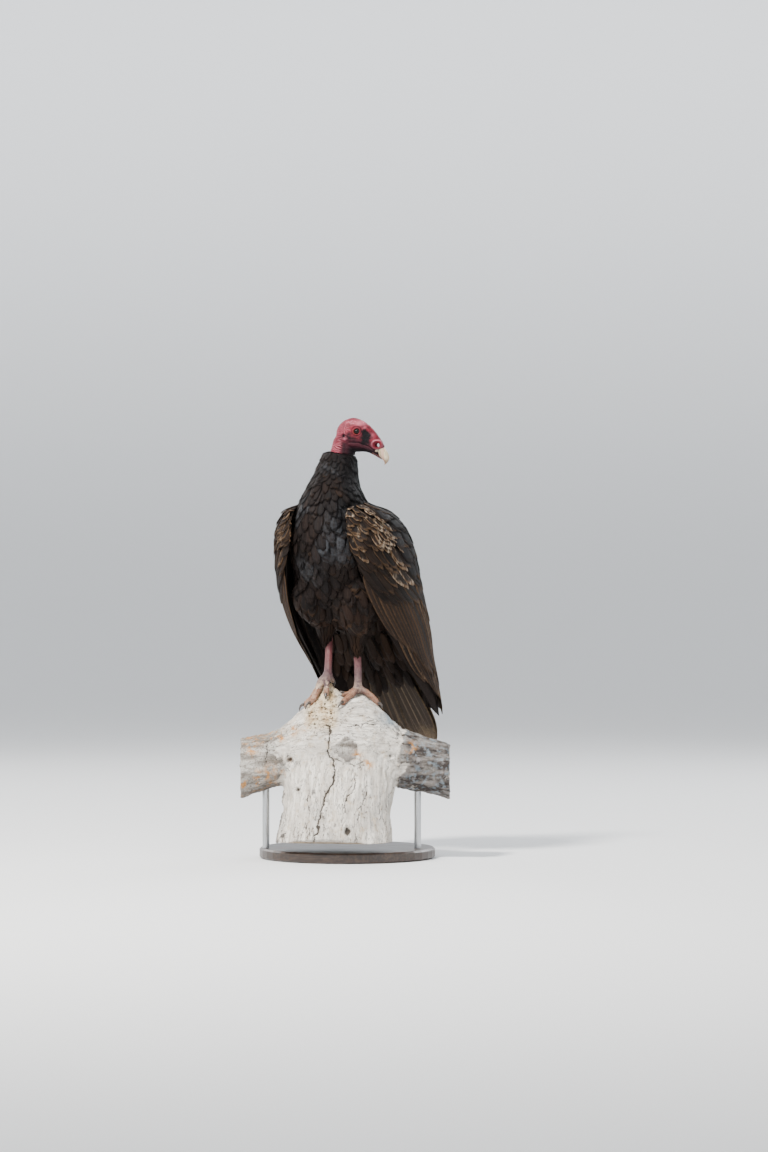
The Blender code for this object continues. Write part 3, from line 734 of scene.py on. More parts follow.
def sculptHead(points, normals):
    f, l, u = toHead(points)
    a = np.abs(l)

    def at(scale, seed, octaves=3):
        return noiseAt(points, scale, seed, octaves)

    def spot(forward, up, wide, radius, tall=1.0):
        return bump(np.hypot((f - forward) * wide, (u - up) * tall), radius)

    def line(name, width):
        return bump(lineDistance(f, u, headLines[name]), width)

    def waves(values, length):
        return np.sin(values * 2 * math.pi / length)

    # brow, jaw and gape, the lids, the ear opening and the nostril
    side, near = step(a, 3.0, 7.0), step(a, 9, 12)
    lift = sum(height * bump(lineDistance(f, u, places), width) * side for places, height, width in headFolds)
    r = np.hypot(f, u)
    lids = bump(r - 5.8, 1.15) * near
    lift += 1.25 * lids + 0.5 * bump(r - 9.2, 1.2) * near - 0.7 * bump(r - 7.9, 0.7) * near
    lift -= 0.9 * spot(13.5, -3.2, 1, 5.0, 1.3) * side
    ear = np.hypot(f + 22, (u + 9) * 0.8)
    lift += (-3.2 * bump(ear, 1.9) + 0.5 * bump(ear - 3.6, 1.0)) * side
    lift += 1.1 * spot(-19.5, -14, 1, 3.0) * side
    nose = np.hypot((f - 35.8) * 0.90, (u + 20.4) * 1.08)
    lift += 1.1 * bump(nose - 7.6, 1.5) * step(a, 2.5, 4.5) - 2.6 * bump(nose, 4.6) * step(a, 1.0, 3.0)

    # rings round the nape, wrinkles behind the crown and fine ridges over it
    warp = at(90, 11, 2) * 2.2
    rings = waves(-u * 0.92 - f * 0.18 + warp, 2.9)
    patchy = step(at(75, 18, 2), -0.35, 0.15)
    nape = step(-f, 8, 16) * step(-u, -12, 2) * (0.55 + 0.45 * step(-u, 14, 26)) * (0.35 + 0.65 * patchy)
    nape = nape * (1 - step(-u, 10, 20) * step(f, -27, -20))
    back = step(-f, 14, 22) * step(u, -12, -3) * step(20 - u, 0, 6)
    wrinkles = waves(f * 0.9 + u * 0.3 + warp, 2.3)
    crown = step(u, 9, 14) * step(f, -26, -20) * step(24 - f, 0, 6)
    ridges = waves(l * 0.8 + at(140, 12, 2) * 3, 3.0)
    lift += nape * 0.55 * rings + back * 0.28 * wrinkles + crown * (0.12 * ridges + 0.35 * at(200, 13))
    lift += 0.20 * at(420, 14, 2) * (1 - lids) * step(45 - f, 4, 16)

    # pale: tops of the folds, cheek, gape, rim of the nostril, and painted highlight over the crown and the
    # brow
    pale = np.clip(nape * np.clip(rings, 0, 1) * 0.85 + back * np.clip(wrinkles, 0, 1) * 0.45, 0, 1)
    pale += crown * (0.10 + 0.10 * np.clip(ridges, 0, 1) + 0.5 * step(at(150, 15), 0.05, 0.5))
    pale += spot(-18.5, -14, 0.7, 2.6) * side + 0.50 * line("gape", 0.9) * side
    pale += 0.85 * bump(nose - 8.4, 1.3) * step(a, 2, 4) + 0.55 * spot(3, 14, 0.7, 5.0)
    pale += 0.45 * spot(12, 7, 1, 3.0) * side + 0.35 * spot(25, -5, 1, 4.5) * side

    # dark: the patch before the eye, spots behind and over the eye, the lip and a line over the top of the
    # crown; painted shade in a band under the eye, in the ear opening, the hollows of the folds and the
    # groove round the eye, over the throat, under the back of the jaw and down the side of the neck
    throat = step(-u, 13, 24) * step(f, -28, -19)
    band = line("mask", 5.0) * (0.75 + 0.5 * at(130, 16))
    patch = 9.4 - np.hypot((f - 15.8) * 1.02, (u + 6.2 + 0.25 * (f - 15.8)) * 0.78) - 5.2 * at(110, 17, 4)
    dark = 1.05 * band + 1.2 * step(patch, -5.0, 7.5) + bump(ear, 2.6) + 0.55 * spot(-12, -4.5, 0.8, 3.0)
    dark += 0.45 * spot(9.5, 8.5, 1.2, 2.0) + 0.40 * line("lip", 1.0) + 0.35 * line("neckSide", 4.5)
    dark = dark * side + 0.50 * step(-u, 23, 31) * step(f, -18, -9)
    dark += 0.62 * nape * np.clip(-rings, 0, 1) + 0.45 * back * np.clip(-wrinkles, 0, 1)
    dark += 0.45 * bump(r - 7.9, 1.0) * near + 0.45 * throat + 0.55 * step(u, 20.5, 22.5) * step(-f, -6, 2)
    dark *= (1 - 0.9 * bump(nose, 8.5)) * (1 - spot(-18.5, -14, 0.7, 2.4))

    inNose = bump(nose, 5.2) * step(a, 1, 3)
    horn = step(u, -33, -31) * step((f - 33) * 0.42 - 29.5 - u, -0.6, 0.6) * step(f, 32, 34)
    horn = horn * step(nose, 8.0, 9.0)
    # jaw: painted shade over the lower face and throat, under the head
    jaw = np.maximum(step(-u - 0.14 * f, 8.5, 17) * step(f, -24, -14), throat) * (1 - 0.85 * bump(nose, 9.5))
    return points + normals * (lift * mm)[:, None], {
        "paleSkinAndHighlight": np.clip(pale * (1 - inNose), 0, 1),
        "darkSkinAndShade": np.clip(dark, 0, 1),
        "lidTint": np.clip(bump(r - 5.2, 0.9) * near, 0, 1),
        "jawShade": jaw,
        "noseTint": np.clip(inNose * 1.2, 0, 1),
        "hornTint": 0.6 * horn,
    }


bedSizes = {
    "voxel": 0.0058,
    "outset": 0.0015,
    "inset": 0.0062,
    "wingInset": 0.0016,
    "tailInset": 0.0014,
    "underShell": 0.0012,
    "soft": 0.012,
}
neckTop = {
    "place": np.array((0.004, 0.008, 0.6885)),
    "normal": np.array((0.16, 0.0, 1.0)) / math.hypot(0.16, 1.0),
}


def belowNeckTop(points):
    return -((points - neckTop["place"]) @ neckTop["normal"])


def buildBed():
    # a soft form under the body's feathers, thin where the bare neck comes out of it
    bed = copyOfNodes("plumageBed", "trunk", "neck", "thigh_left", "thigh_right")
    inflate(bed, bedSizes["outset"])
    melt(bed, bedSizes["voxel"], 8)
    points = getPoints(bed)
    inset = (bedSizes["inset"] + bedSizes["outset"]) * (0.25 + 0.75 * step(belowNeckTop(points), 0.0, 0.040))
    setPoints(bed, points - getNormals(bed) * inset[:, None])
    return bed


wingLevels = (
    # height, middle y, half width, half depth, front angle, back angle, thickness
    (0.612, -0.021, 0.050, 0.030, 46, -60, 0.008),
    (0.601, -0.018, 0.066, 0.046, 50, -66, 0.010),
    (0.590, -0.014, 0.087, 0.076, 60, -76, 0.020),
    (0.560, 0.004, 0.105, 0.096, 65, -80, 0.026),
    (0.520, 0.020, 0.112, 0.110, 64, -81, 0.028),
    (0.474, 0.036, 0.114, 0.114, 59, -82, 0.026),
    (0.430, 0.058, 0.115, 0.110, 54, -82, 0.022),
    (0.386, 0.090, 0.114, 0.098, 49, -82, 0.017),
    (0.338, 0.127, 0.107, 0.078, 42, -79, 0.012),
    (0.287, 0.168, 0.105, 0.050, 32, -63, 0.008),
    (0.250, 0.198, 0.101, 0.026, 20, -52, 0.005),
    (0.215, 0.224, 0.094, 0.012, 14, -30, 0.004),
)
wingTable = smoothTable(wingLevels, 500)[::-1]
wingBoxiness = 2.6


def wingValues(z):
    return [np.interp(z, wingTable[:, 0], wingTable[:, k]) for k in range(1, 7)]


def buildQuillBed(name, inset, *nodeNames):
    bed = copyOfNodes(name, *nodeNames)
    inflate(bed, -inset)
    return bed


def sinkUnderWing(bed):
    # the bed of a wing stays a little under the shell that its feathers lie on
    points = getPoints(bed)
    middle, halfWidth, halfDepth = wingValues(points[:, 2])[:3]
    x, y = points[:, 0], points[:, 1] - middle
    reach = np.abs(x / halfWidth) ** wingBoxiness + np.abs(y / halfDepth) ** wingBoxiness
    reach = reach ** (1 / wingBoxiness)
    limit = 1 - bedSizes["underShell"] / np.minimum(halfWidth, halfDepth)
    soft = bedSizes["soft"]
    wanted = limit - soft * np.log1p(np.exp(np.clip((limit - reach) / soft, -40, 40)))
    share = np.clip(wanted / np.maximum(reach, 1e-6), 0.2, 1.0)
    setPoints(bed, np.stack([x * share, middle + y * share, points[:, 2]], 1))


toes = (
    # hub along and across the limb, the way of each toe
    (0.0315, -0.004, (186, 226, 348, 95)),
    (-0.0205, 0.000, (185, 214, 264, 62)),
)
legSizes = {
    "voxel": 0.00085,
    "toeHalf": 0.009,
    "toeHeight": 0.080,
    "scute": 0.0031,
    "knuckle": 0.0125,
    "relief": 0.55,
}


def buildLegs():
    sizes = legSizes
    legs = copyOfNodes("legs", "shank_left", "shank_right", "foot_left", "foot_right")
    inflate(legs, 0.0002)
    melt(legs, sizes["voxel"], 3)
    points, normals = getPoints(legs), getNormals(legs)
    u, w, h = limbFrame(points)
    onLeft = points[:, 0] > 0.004
    along, closest = np.zeros(len(u)), np.full(len(u), 1e9)
    for (hubU, hubW, headings), mine in zip(toes, (onLeft, ~onLeft)):
        for turn in np.radians(headings):
            forward = (u - hubU) * math.cos(turn) + (w - hubW) * math.sin(turn)
            sideways = np.abs(-(u - hubU) * math.sin(turn) + (w - hubW) * math.cos(turn))
            nearer = mine & (forward > 0.006) & (sideways < closest)
            closest = np.where(nearer, sideways, closest)
            along = np.where(nearer, forward, along)
    onToe = (closest < sizes["toeHalf"]) & (h < sizes["toeHeight"])
    facingUp = step(normals[:, 2], -0.1, 0.5)
    phase = (along / sizes["scute"]) % 1
    scute = (phase ** 0.6) * (1 - step(phase, 0.86, 1.0))
    knuckles = 0.8 * np.sin(along * 2 * math.pi / sizes["knuckle"] + 0.8)
    cells = np.array([noise.cell(Vector(p) * 500) for p in points]) - 0.5
    shank = 0.25 + 0.9 * step(0.300 - points[:, 2], 0, 0.02) * noiseAt(points, 190, 22, 3)
    shank = shank + 0.22 * noiseAt(points, 520, 21, 2) + 0.10 * cells
    lift = np.where(onToe, facingUp * (1.1 * scute - 0.4) + 1.2 + knuckles, shank)
    setPoints(legs, points + normals * (lift * sizes["relief"] * mm)[:, None])
    # crease: painted shade in the grooves between the scutes and on the underside of the toes
    crease = (1 - step(np.abs(phase - 0.93), 0.02, 0.16)) * step(facingUp, 0.1, 0.6) + 0.5 * (1 - facingUp)
    low = step(0.315 - points[:, 2], 0.0, 0.030)
    setFloats(
        legs,
        # scute: painted highlight on the upward-facing scutes
        scute=onToe * facingUp * scute,
        toe=onToe * step(along, 0.008, 0.02),
        heel=step(points[:, 2], 0.310, 0.345),
        chalky=low * np.where(onToe, 0.35, 1.0) * np.where(onLeft, 0.4, 1.0) + 0.06,
        crease=onToe * crease,
    )
    return legs


def bareSkin():
    material, tree, shader = newMaterial("bareSkin")
    place = objectPlace(tree)
    fine = noiseNode(tree, place, 620, 4, 0.6)
    blotch = ramp(tree, noiseNode(tree, place, 120, 4), 0.35, 0.65)
    colour = paint(
        tree, mixColour(tree, blotch, (0.080, 0.0026, 0.0100), (0.170, 0.0088, 0.0210)),
        (ramp(tree, fine, 0.52, 0.70, 0, 0.12), 1, (0.42, 0.11, 0.14)),
        # pale skin, and painted highlight over the crown and the brow
        ("paleSkinAndHighlight", 1, (0.47, 0.140, 0.185)),
        # painted shade: dark maroon over the lower face and throat
        ("jawShade", 0.95, (0.050, 0.0042, 0.0115)),
        ("lidTint", 0.85, (0.115, 0.014, 0.007)),
        # dark skin and painted shade: near black over the patch before the eye, the fold hollows, the ear and
        # the throat
        ("darkSkinAndShade", 1, (0.0030, 0.0022, 0.0036)),
        ("noseTint", 1, (0.10, 0.002, 0.008)),
        ("hornTint", 1, (0.50, 0.42, 0.30)),
    )
    dull = ramp(tree, fine, 0.3, 0.7, 0.42, 0.60)
    dull = mathNode(tree, "MULTIPLY_ADD", attributeValue(tree, "darkSkinAndShade"), 0.35, dull)
    height = mathNode(tree, "MULTIPLY_ADD", ramp(tree, cellEdges(tree, place, 520), 0.0, 0.25), 0.6, fine)
    feed(tree, shader, {
        "Base Color": colour, "Roughness": dull, "Specular IOR Level": 0.20,
        "Subsurface Weight": 0.05, "Subsurface Radius": (0.004, 0.0015, 0.001), "Subsurface Scale": 0.6,
        "Normal": bumpNode(tree, height, 0.55, 0.00035),
    })
    return material


def legSkin():
    material, tree, shader = newMaterial("legSkin")
    place = objectPlace(tree)
    cells, chalk = cellEdges(tree, place, 560), noiseNode(tree, place, 150, 4, 0.65)
    specks = noiseNode(tree, place, 900, 3, 0.6)
    base = mixColour(tree, ramp(tree, chalk, 0.35, 0.65), (0.030, 0.0115, 0.0195), (0.058, 0.0245, 0.0345))
    colour = paint(
        tree, base,
        ("heel", 0.95, (0.078, 0.0034, 0.0120)),
        ("toe", 0.95, (0.185, 0.060, 0.023)),
        # painted highlight on the tops of the scutes, painted shade in the creases and under the toes
        ("scute", 0.6, (0.33, 0.150, 0.072)),
        ("crease", 0.9, (0.070, 0.024, 0.015)),
        (ramp(tree, chalk, 0.36, 0.56), attributeValue(tree, "chalky"), (0.52, 0.385, 0.27)),
        (ramp(tree, specks, 0.60, 0.68, 0, 0.7), 1, (0.10, 0.055, 0.05)),
        (ramp(tree, cells, 0.0, 0.10, 0.45, 0.0), 1, (0.14, 0.06, 0.05)),
    )
    normal = bumpNode(tree, ramp(tree, cells, 0.0, 0.3), 0.6, 0.0004)
    feed(tree, shader, {"Base Color": colour, "Roughness": 0.55, "Normal": normal})
    return material


def dullDown():
    material, tree, shader = newMaterial("dullDown")
    fluff = noiseNode(tree, objectPlace(tree), 300, 4)
    colour = mixColour(tree, fluff, (0.008, 0.006, 0.006), (0.026, 0.019, 0.016))
    feed(tree, shader, {"Base Color": colour, "Roughness": 0.95, "Specular IOR Level": 0.1})
    return material


def buildSkin():
    head = copyOfNodes("headSkin", "head")
    melt(head, headSizes["voxel"], 3)
    moved, masks = sculptHead(getPoints(head), getNormals(head))
    setPoints(head, moved)
    setFloats(head, **masks)
    bed = buildBed()
    surface = Surface(bed)
    legs = buildLegs()
    wings = buildQuillBed("wingBeds", bedSizes["wingInset"], "wing_left", "wing_right")
    sinkUnderWing(wings)
    tail = buildQuillBed("tailBed", bedSizes["tailInset"], "tail")
    parts, down = (head, legs, bed, wings, tail), dullDown()
    for obj, material in zip(parts, (bareSkin(), legSkin(), down, down, down)):
        obj.data.materials.append(material)
    fleshy = [name + side for name in ("shank", "foot", "thigh", "wing") for side in ("_left", "_right")]
    finishPiece(joinObjects(parts, "skin"), "bare_skin", None, "head", "neck", "trunk", "tail", *fleshy)
    return surface


scatterSizes = {"tries": 9, "jitter": 0.006}


class Surface:
    # the closest place and normal on a mesh, and places scattered over it
    def __init__(self, obj):
        polygons = obj.data.polygons
        self.points, self.normals = getPoints(obj), getNormals(obj)
        faces = [tuple(face.vertices) for face in polygons]
        self.tree = BVHTree.FromPolygons([Vector(p) for p in self.points], faces)
        self.corners = np.array([(face + face[-1:] * 4)[:4] for face in faces])
        self.areas = np.array([face.area for face in polygons])
        self.centres = np.array([face.center for face in polygons])

    def nearest(self, places):
        found = [self.tree.find_nearest(Vector(p)) for p in places]
        where = np.array([hit[0] for hit in found])
        corners = self.corners[[hit[2] for hit in found]]
        apart = np.linalg.norm(self.points[corners] - where[:, None], axis=2) + 1e-5
        normals = (self.normals[corners] * (1 / apart)[:, :, None]).sum(1)
        return where, normals / np.linalg.norm(normals, axis=1)[:, None]

    def scatter(self, spacing, keep):
        # evenly apart, where the distance between roots may change over the surface
        weight = self.areas * keep(self.centres) / spacing(self.centres) ** 2
        number = int(weight.sum() * scatterSizes["tries"])
        picks = rng.choice(len(weight), size=number, p=weight / weight.sum())
        spots = self.centres[picks] + (rng.random((number, 3)) - 0.5) * scatterSizes["jitter"]
        spots, normals = self.nearest(spots)
        gaps = spacing(spots)
        cell = gaps.max()
        grid, chosen = {}, []
        for i, (spot, gap) in enumerate(zip(spots, gaps)):
            a, b, c = (int(part) for part in spot // cell)
            around = [(a + x, b + y, c + z) for x in (-1, 0, 1) for y in (-1, 0, 1) for z in (-1, 0, 1)]
            near = [spots[j] - spot for home in around for j in grid.get(home, ())]
            if not any(np.dot(way, way) < gap * gap for way in near):
                grid.setdefault((a, b, c), []).append(i)
                chosen.append(i)
        return spots[chosen], normals[chosen]


bodySurface = buildSkin()
print("skin ready")


# eyes, bill and claws

def buildEyes():
    material, tree, shader = newMaterial("eyeBall")
    place = addNode(tree, "Attribute", {}, attribute_name="eyePlace").outputs["Vector"]
    parts = addNode(tree, "SeparateXYZ", {0: place})
    squares = [mathNode(tree, "POWER", parts.outputs[k], 2.0) for k in (0, 1)]
    r = mathNode(tree, "POWER", mathNode(tree, "ADD", *squares), 0.5)
    streaks = noiseNode(tree, place, 5, 4, 0.6)
    colour = paint(
        tree, mixColour(tree, streaks, (0.0035, 0.0026, 0.0022), (0.014, 0.0095, 0.0055)),
        (ramp(tree, r, 0.66, 0.80), 1, (0.003, 0.002, 0.002)),
        (ramp(tree, r, 0.44, 0.50, 1, 0), 1, (0.002, 0.002, 0.002)),
    )
    feed(tree, shader, {
        "Base Color": colour,
        "Roughness": 0.16,
        "Specular IOR Level": 0.15,
        "Coat Weight": 0.12,
        "Coat Roughness": 0.02,
    })
    for name, out in (("left", 1), ("right", -1)):
        bpy.ops.mesh.primitive_uv_sphere_add(segments=40, ring_count=24, radius=1)
        eye = bpy.context.object
        eye.name = eye.data.name = name + "Eye"
        local = getPoints(eye)
        layer = eye.data.attributes.new("eyePlace", "FLOAT_VECTOR", "POINT")
        layer.data.foreach_set("vector", local.ravel())
        turn = Matrix.Rotation(math.radians(-90 * out), 4, "X") @ Matrix.Rotation(math.radians(6), 4, "Y")
        bulge = 1 + 0.06 * step(local[:, 2], 0.62, 0.95)
        shape = local * bulge[:, None] * headSizes["eyeRadius"] * 0.985
        centre = headMatrix @ Vector((0, headSizes["eyeOut"] * out, 0))
        setPoints(eye, shape @ (headTurn @ np.array(turn.to_3x3())).T + np.array(centre))
        finishPiece(eye, "eye", material, "eye_" + name)


def buildBill():
    material, tree, shader = newMaterial("billHorn")
    streaks = noiseNode(tree, scaled(tree, objectPlace(tree), (1, 1, 0.35)), 260, 4)
    colour = paint(
        tree, mixColour(tree, ramp(tree, streaks, 0.35, 0.65), (0.33, 0.26, 0.165), (0.52, 0.445, 0.32)),
        ("hook", 0.85, (0.17, 0.120, 0.070)),
        ("base", 0.7, (0.42, 0.20, 0.16)),
        # lower: painted shade, dark maroon over the whole lower bill, which lies under the upper bill
        ("lower", 1, (0.040, 0.0065, 0.0090)),
    )
    normal = bumpNode(tree, streaks, 0.25, 0.0002)
    feed(tree, shader, {"Base Color": colour, "Roughness": 0.34, "Subsurface Weight": 0.08, "Normal": normal})
    for name, upper in (("upper", 1.0), ("lower", 0.0)):
        bill = copyOfNodes(name + "Bill", "bill_" + name)
        melt(bill, 0.0005, 4)
        f, l, u = toHead(getPoints(bill))
        base = bump(f - 44.5 - (u + 24) * -0.1, 2.2) * step(-20 - u, -6, 0)
        # the whole lower bill is marked for painted shade
        setFloats(bill, hook=upper * step(-u, 39, 50), base=upper * base, lower=0.97 * (1 - upper) + 0 * u)
        finishPiece(bill, "bill_horn", material, "bill_" + name)


def buildClaws():
    material, tree, shader = newMaterial("clawHorn")
    streaks = ramp(tree, noiseNode(tree, objectPlace(tree), 420, 4, 0.6), 0.35, 0.7)
    colour = mixColour(tree, streaks, (0.022, 0.018, 0.017), (0.11, 0.085, 0.07))
    feed(tree, shader, {"Base Color": colour, "Roughness": 0.36})
    for side in ("left", "right"):
        for toe in ("inner", "middle", "outer", "hind"):
            claw = copyOfNodes(side + toe + "Claw", f"claw_{side}_{toe}")
            melt(claw, 0.0005, 3)
            finishPiece(claw, "claw_horn", material, f"claw_{side}_{toe}")


buildEyes()
buildBill()
buildClaws()
print("eyes, bill and claws ready")


# feathers: each kind is modelled once, then laid in rows and fields from arrays

vaneKinds = {
    # columns, rows, thickness, then half widths from root to tip, notch and lean of each variant
    "body": (4, 6, 0.00035, (
        ((0.25, 0.70, 0.93, 1.0, 0.97, 0.87, 0.50), 0.00, 0.00),
        ((0.25, 0.66, 0.92, 1.0, 1.0, 0.90, 0.55), 0.09, 0.12),
        ((0.2, 0.6, 0.86, 0.96, 0.93, 0.80, 0.42), 0.04, -0.14),
    )),
    "wide": (4, 7, 0.0005, (
        ((0.35, 0.8, 0.98, 1.0, 1.0, 0.96, 0.86, 0.44), 0.00, 0.00),
        ((0.35, 0.8, 0.95, 1.0, 1.0, 0.97, 0.80, 0.36), 0.05, 0.08),
    )),
    "long": (6, 18, 0.0009, (
        ((0.30, 0.62, 0.85, 0.96, 1.0, 1.0, 1.0, 0.99, 0.97, 0.93, 0.84, 0.66, 0.30), 0.00, 0.00),
        ((0.30, 0.62, 0.85, 0.96, 1.0, 1.0, 1.0, 0.99, 0.97, 0.92, 0.80, 0.58, 0.24), 0.02, 0.06),
    )),
}
vaneLay = {"roundTip": 0.055, "patch": 0.0014, "rows": 6, "lift": 0.0003, "cup": 0.05, "steer": 0.15}


def featherPattern(columns, rows, thickness, outline, notch, lean):
    # two sheets of one outline, apart in the middle and closed along the edge
    bpy.ops.mesh.primitive_grid_add(x_subdivisions=columns, y_subdivisions=rows, size=2)
    vane = bpy.context.object
    points = getPoints(vane)
    s, t = points[:, 0].copy(), (points[:, 1].copy() + 1) / 2
    widths = np.interp(t, np.linspace(0, 1, len(outline)), outline)
    reach = t + vaneLay["roundTip"] * (1 - s ** 2) * step(t, 0.45, 1.0)
    reach = reach - notch * bump(s - 0.45, 0.25) * step(t, 0.8, 1.0)
    setPoints(vane, np.stack([s * widths + lean * t ** 2, reach, 0 * s], 1))
    layer = vane.data.attributes.new("sheet", "FLOAT_VECTOR", "POINT")
    layer.data.foreach_set("vector", np.stack([s, np.clip(t, 0, 1), 0 * s + 1], 1).ravel())
    editMesh(vane, "SELECT", "duplicate")
    editMesh(vane, None, "flip_normals")
    points = getPoints(vane)
    half = len(points) // 2
    apart = np.where((np.abs(s) < 0.98) & (t > 0.01) & (t < 0.99), thickness * 0.5, 0)
    points[:half, 2] += apart
    points[half:, 2] -= apart
    setPoints(vane, points)
    editMesh(vane, "SELECT", "remove_doubles", threshold=1e-5)
    mesh = vane.data
    sheet = readArray(mesh.attributes["sheet"].data, "vector", 3)
    made = {
        "place": getPoints(vane),
        "across": sheet[:, 0],
        "along": sheet[:, 1],
        "loops": readArray(mesh.loops, "vertex_index", kind=int),
        "totals": readArray(mesh.polygons, "loop_total", kind=int),
    }
    bpy.data.objects.remove(vane)
    return made


patterns = {
    kind: [featherPattern(columns, rows, thickness, *variant) for variant in variants]
    for kind, (columns, rows, thickness, variants) in vaneKinds.items()
}


def flipped(pattern):
    # the same vane with its faces turned round
    starts = np.concatenate([[0], np.cumsum(pattern["totals"])])
    turned = [pattern["loops"][a:b][::-1] for a, b in zip(starts, starts[1:])]
    return dict(pattern, loops=np.concatenate(turned))


def buildFeathers(name, batches, material):
    # a batch is a pattern, the corners of its feathers, the numbers they carry and their places on the unwrap
    points, loops, totals, flats, numbers = [], [], [], [], {}
    count = 0
    for pattern, corners, carried, root in batches:
        many, each = corners.shape[:2]
        points.append(corners.reshape(-1, 3))
        shifts = (np.arange(many) * each + count)[:, None]
        loops.append((pattern["loops"][None, :] + shifts).ravel())
        totals.append(np.tile(pattern["totals"], many))
        s, t = pattern["across"], pattern["along"]
        patch = root[:, None, :] + vaneLay["patch"] * np.stack([s, t * 2 - 1], 1)[None]
        flats.append(patch[:, pattern["loops"], :].reshape(-1, 2))
        for key, values in dict(carried, across=s[None], along=t[None]).items():
            values = np.asarray(values, float)
            values = values[:, None] if values.ndim == 1 else values
            numbers.setdefault(key, []).append(np.broadcast_to(values, (many, each)).reshape(-1))
        count += many * each
    points, loops, totals = np.concatenate(points), np.concatenate(loops), np.concatenate(totals)
    mesh = bpy.data.meshes.new(name)
    mesh.vertices.add(len(points))
    mesh.vertices.foreach_set("co", points.astype(np.float32).ravel())
    mesh.loops.add(len(loops))
    mesh.loops.foreach_set("vertex_index", loops.astype(np.int32))
    mesh.polygons.add(len(totals))
    mesh.polygons.foreach_set("loop_start", np.concatenate([[0], np.cumsum(totals)[:-1]]).astype(np.int32))
    mesh.polygons.foreach_set("loop_total", totals.astype(np.int32))
    mesh.update(calc_edges=True)
    layer = mesh.uv_layers.new(name="OFBake")
    layer.data.foreach_set("uv", np.concatenate(flats).astype(np.float32).ravel())
    obj = addObject(name, mesh)
    setFloats(obj, **{key: np.concatenate(values) for key, values in numbers.items()})
    finishPiece(obj, "plumage", material)
    print(name, sum(len(batch[1]) for batch in batches), "feathers", (totals - 2).sum(), "triangles")


def unwrapOf(points):
    # an unwrap of the bird's own shape: the turn round its axis, and the height
    turn = np.arctan2(points[:, 1] - 0.05, points[:, 0]) / (2 * math.pi) + 0.5
    return np.stack([turn * 0.96 + 0.02, points[:, 2] * 1.2 + 0.02], 1)


def unit(vectors):
    return vectors / np.maximum(np.linalg.norm(vectors, axis=-1, keepdims=True), 1e-9)


def layOn(surface, patternList, roots, normals, flow, length, width, rise, carried, hug=None):
    # each feather's spine is walked over the surface, and its edges are laid on it too
    rows, steer = vaneLay["rows"], vaneLay["steer"]
    many = len(roots)
    heading = flow(roots)
    heading = unit(heading - normals * (heading * normals).sum(1)[:, None])
    spine, ups, sides = [roots], [normals], [unit(np.cross(heading, normals))]
    spot, up = roots, normals
    loose = np.zeros((many, 1)) if hug is None else (1 - hug)[:, None]
    for _ in range(rows - 1):
        straight = spot + heading * (length / (rows - 1))[:, None]
        spot, lower = surface.nearest(straight)
        spot = spot * (1 - loose) + straight * loose
        up = unit(lower * (1 - loose) + up * loose)
        heading = unit(heading * (1 - steer) + unit(flow(spot)) * steer)
        heading = unit(heading - up * (heading * up).sum(1)[:, None])
        spine.append(spot)
        ups.append(up)
        sides.append(unit(np.cross(heading, up)))
    spine, ups, sides = np.stack(spine, 1), np.stack(ups, 1), np.stack(sides, 1)
    edges = []
    for side in (-1, 1):
        free = spine + sides * width[:, None, None] * 0.5 * side
        laid = surface.nearest(free.reshape(-1, 3))[0].reshape(many, rows, 3)
        edges.append(laid * (1 - loose[:, None]) + free * loose[:, None])
    batches = []
    kinds = rng.integers(0, len(patternList), many)
    for kind, pattern in enumerate(patternList):
        mine = np.where(kinds == kind)[0]
        if not len(mine):
            continue
        s, t, thick = pattern["place"].T
        at = np.clip(t, 0, 1.06) * (rows - 1)
        low = np.minimum(at.astype(int), rows - 2)
        part = (at - low)[None, :, None]
        middle, left, right, up = (
            values[mine][:, low] * (1 - part) + values[mine][:, low + 1] * part
            for values in (spine, *edges, ups)
        )
        sw, tipward = s[None, :, None], np.clip(t, 0, 1)[None]
        base = middle + (right - left) * 0.5 * sw + (right + left - 2 * middle) * 0.5 * sw ** 2
        wide = width[mine][:, None]
        climb = vaneLay["lift"] + rise[mine][:, None] * tipward ** 1.15
        climb = climb + vaneLay["cup"] * wide * (0.35 - s[None] ** 2) * tipward
        climb = climb + carried["roll"][mine][:, None] * s[None] * wide * 0.5 * tipward
        corners = base + unit(up) * (climb + thick[None])[:, :, None]
        numbers = {key: values[mine] for key, values in carried.items() if key != "roll"}
        batches.append((pattern, corners, numbers, unwrapOf(roots[mine])))
    return batches


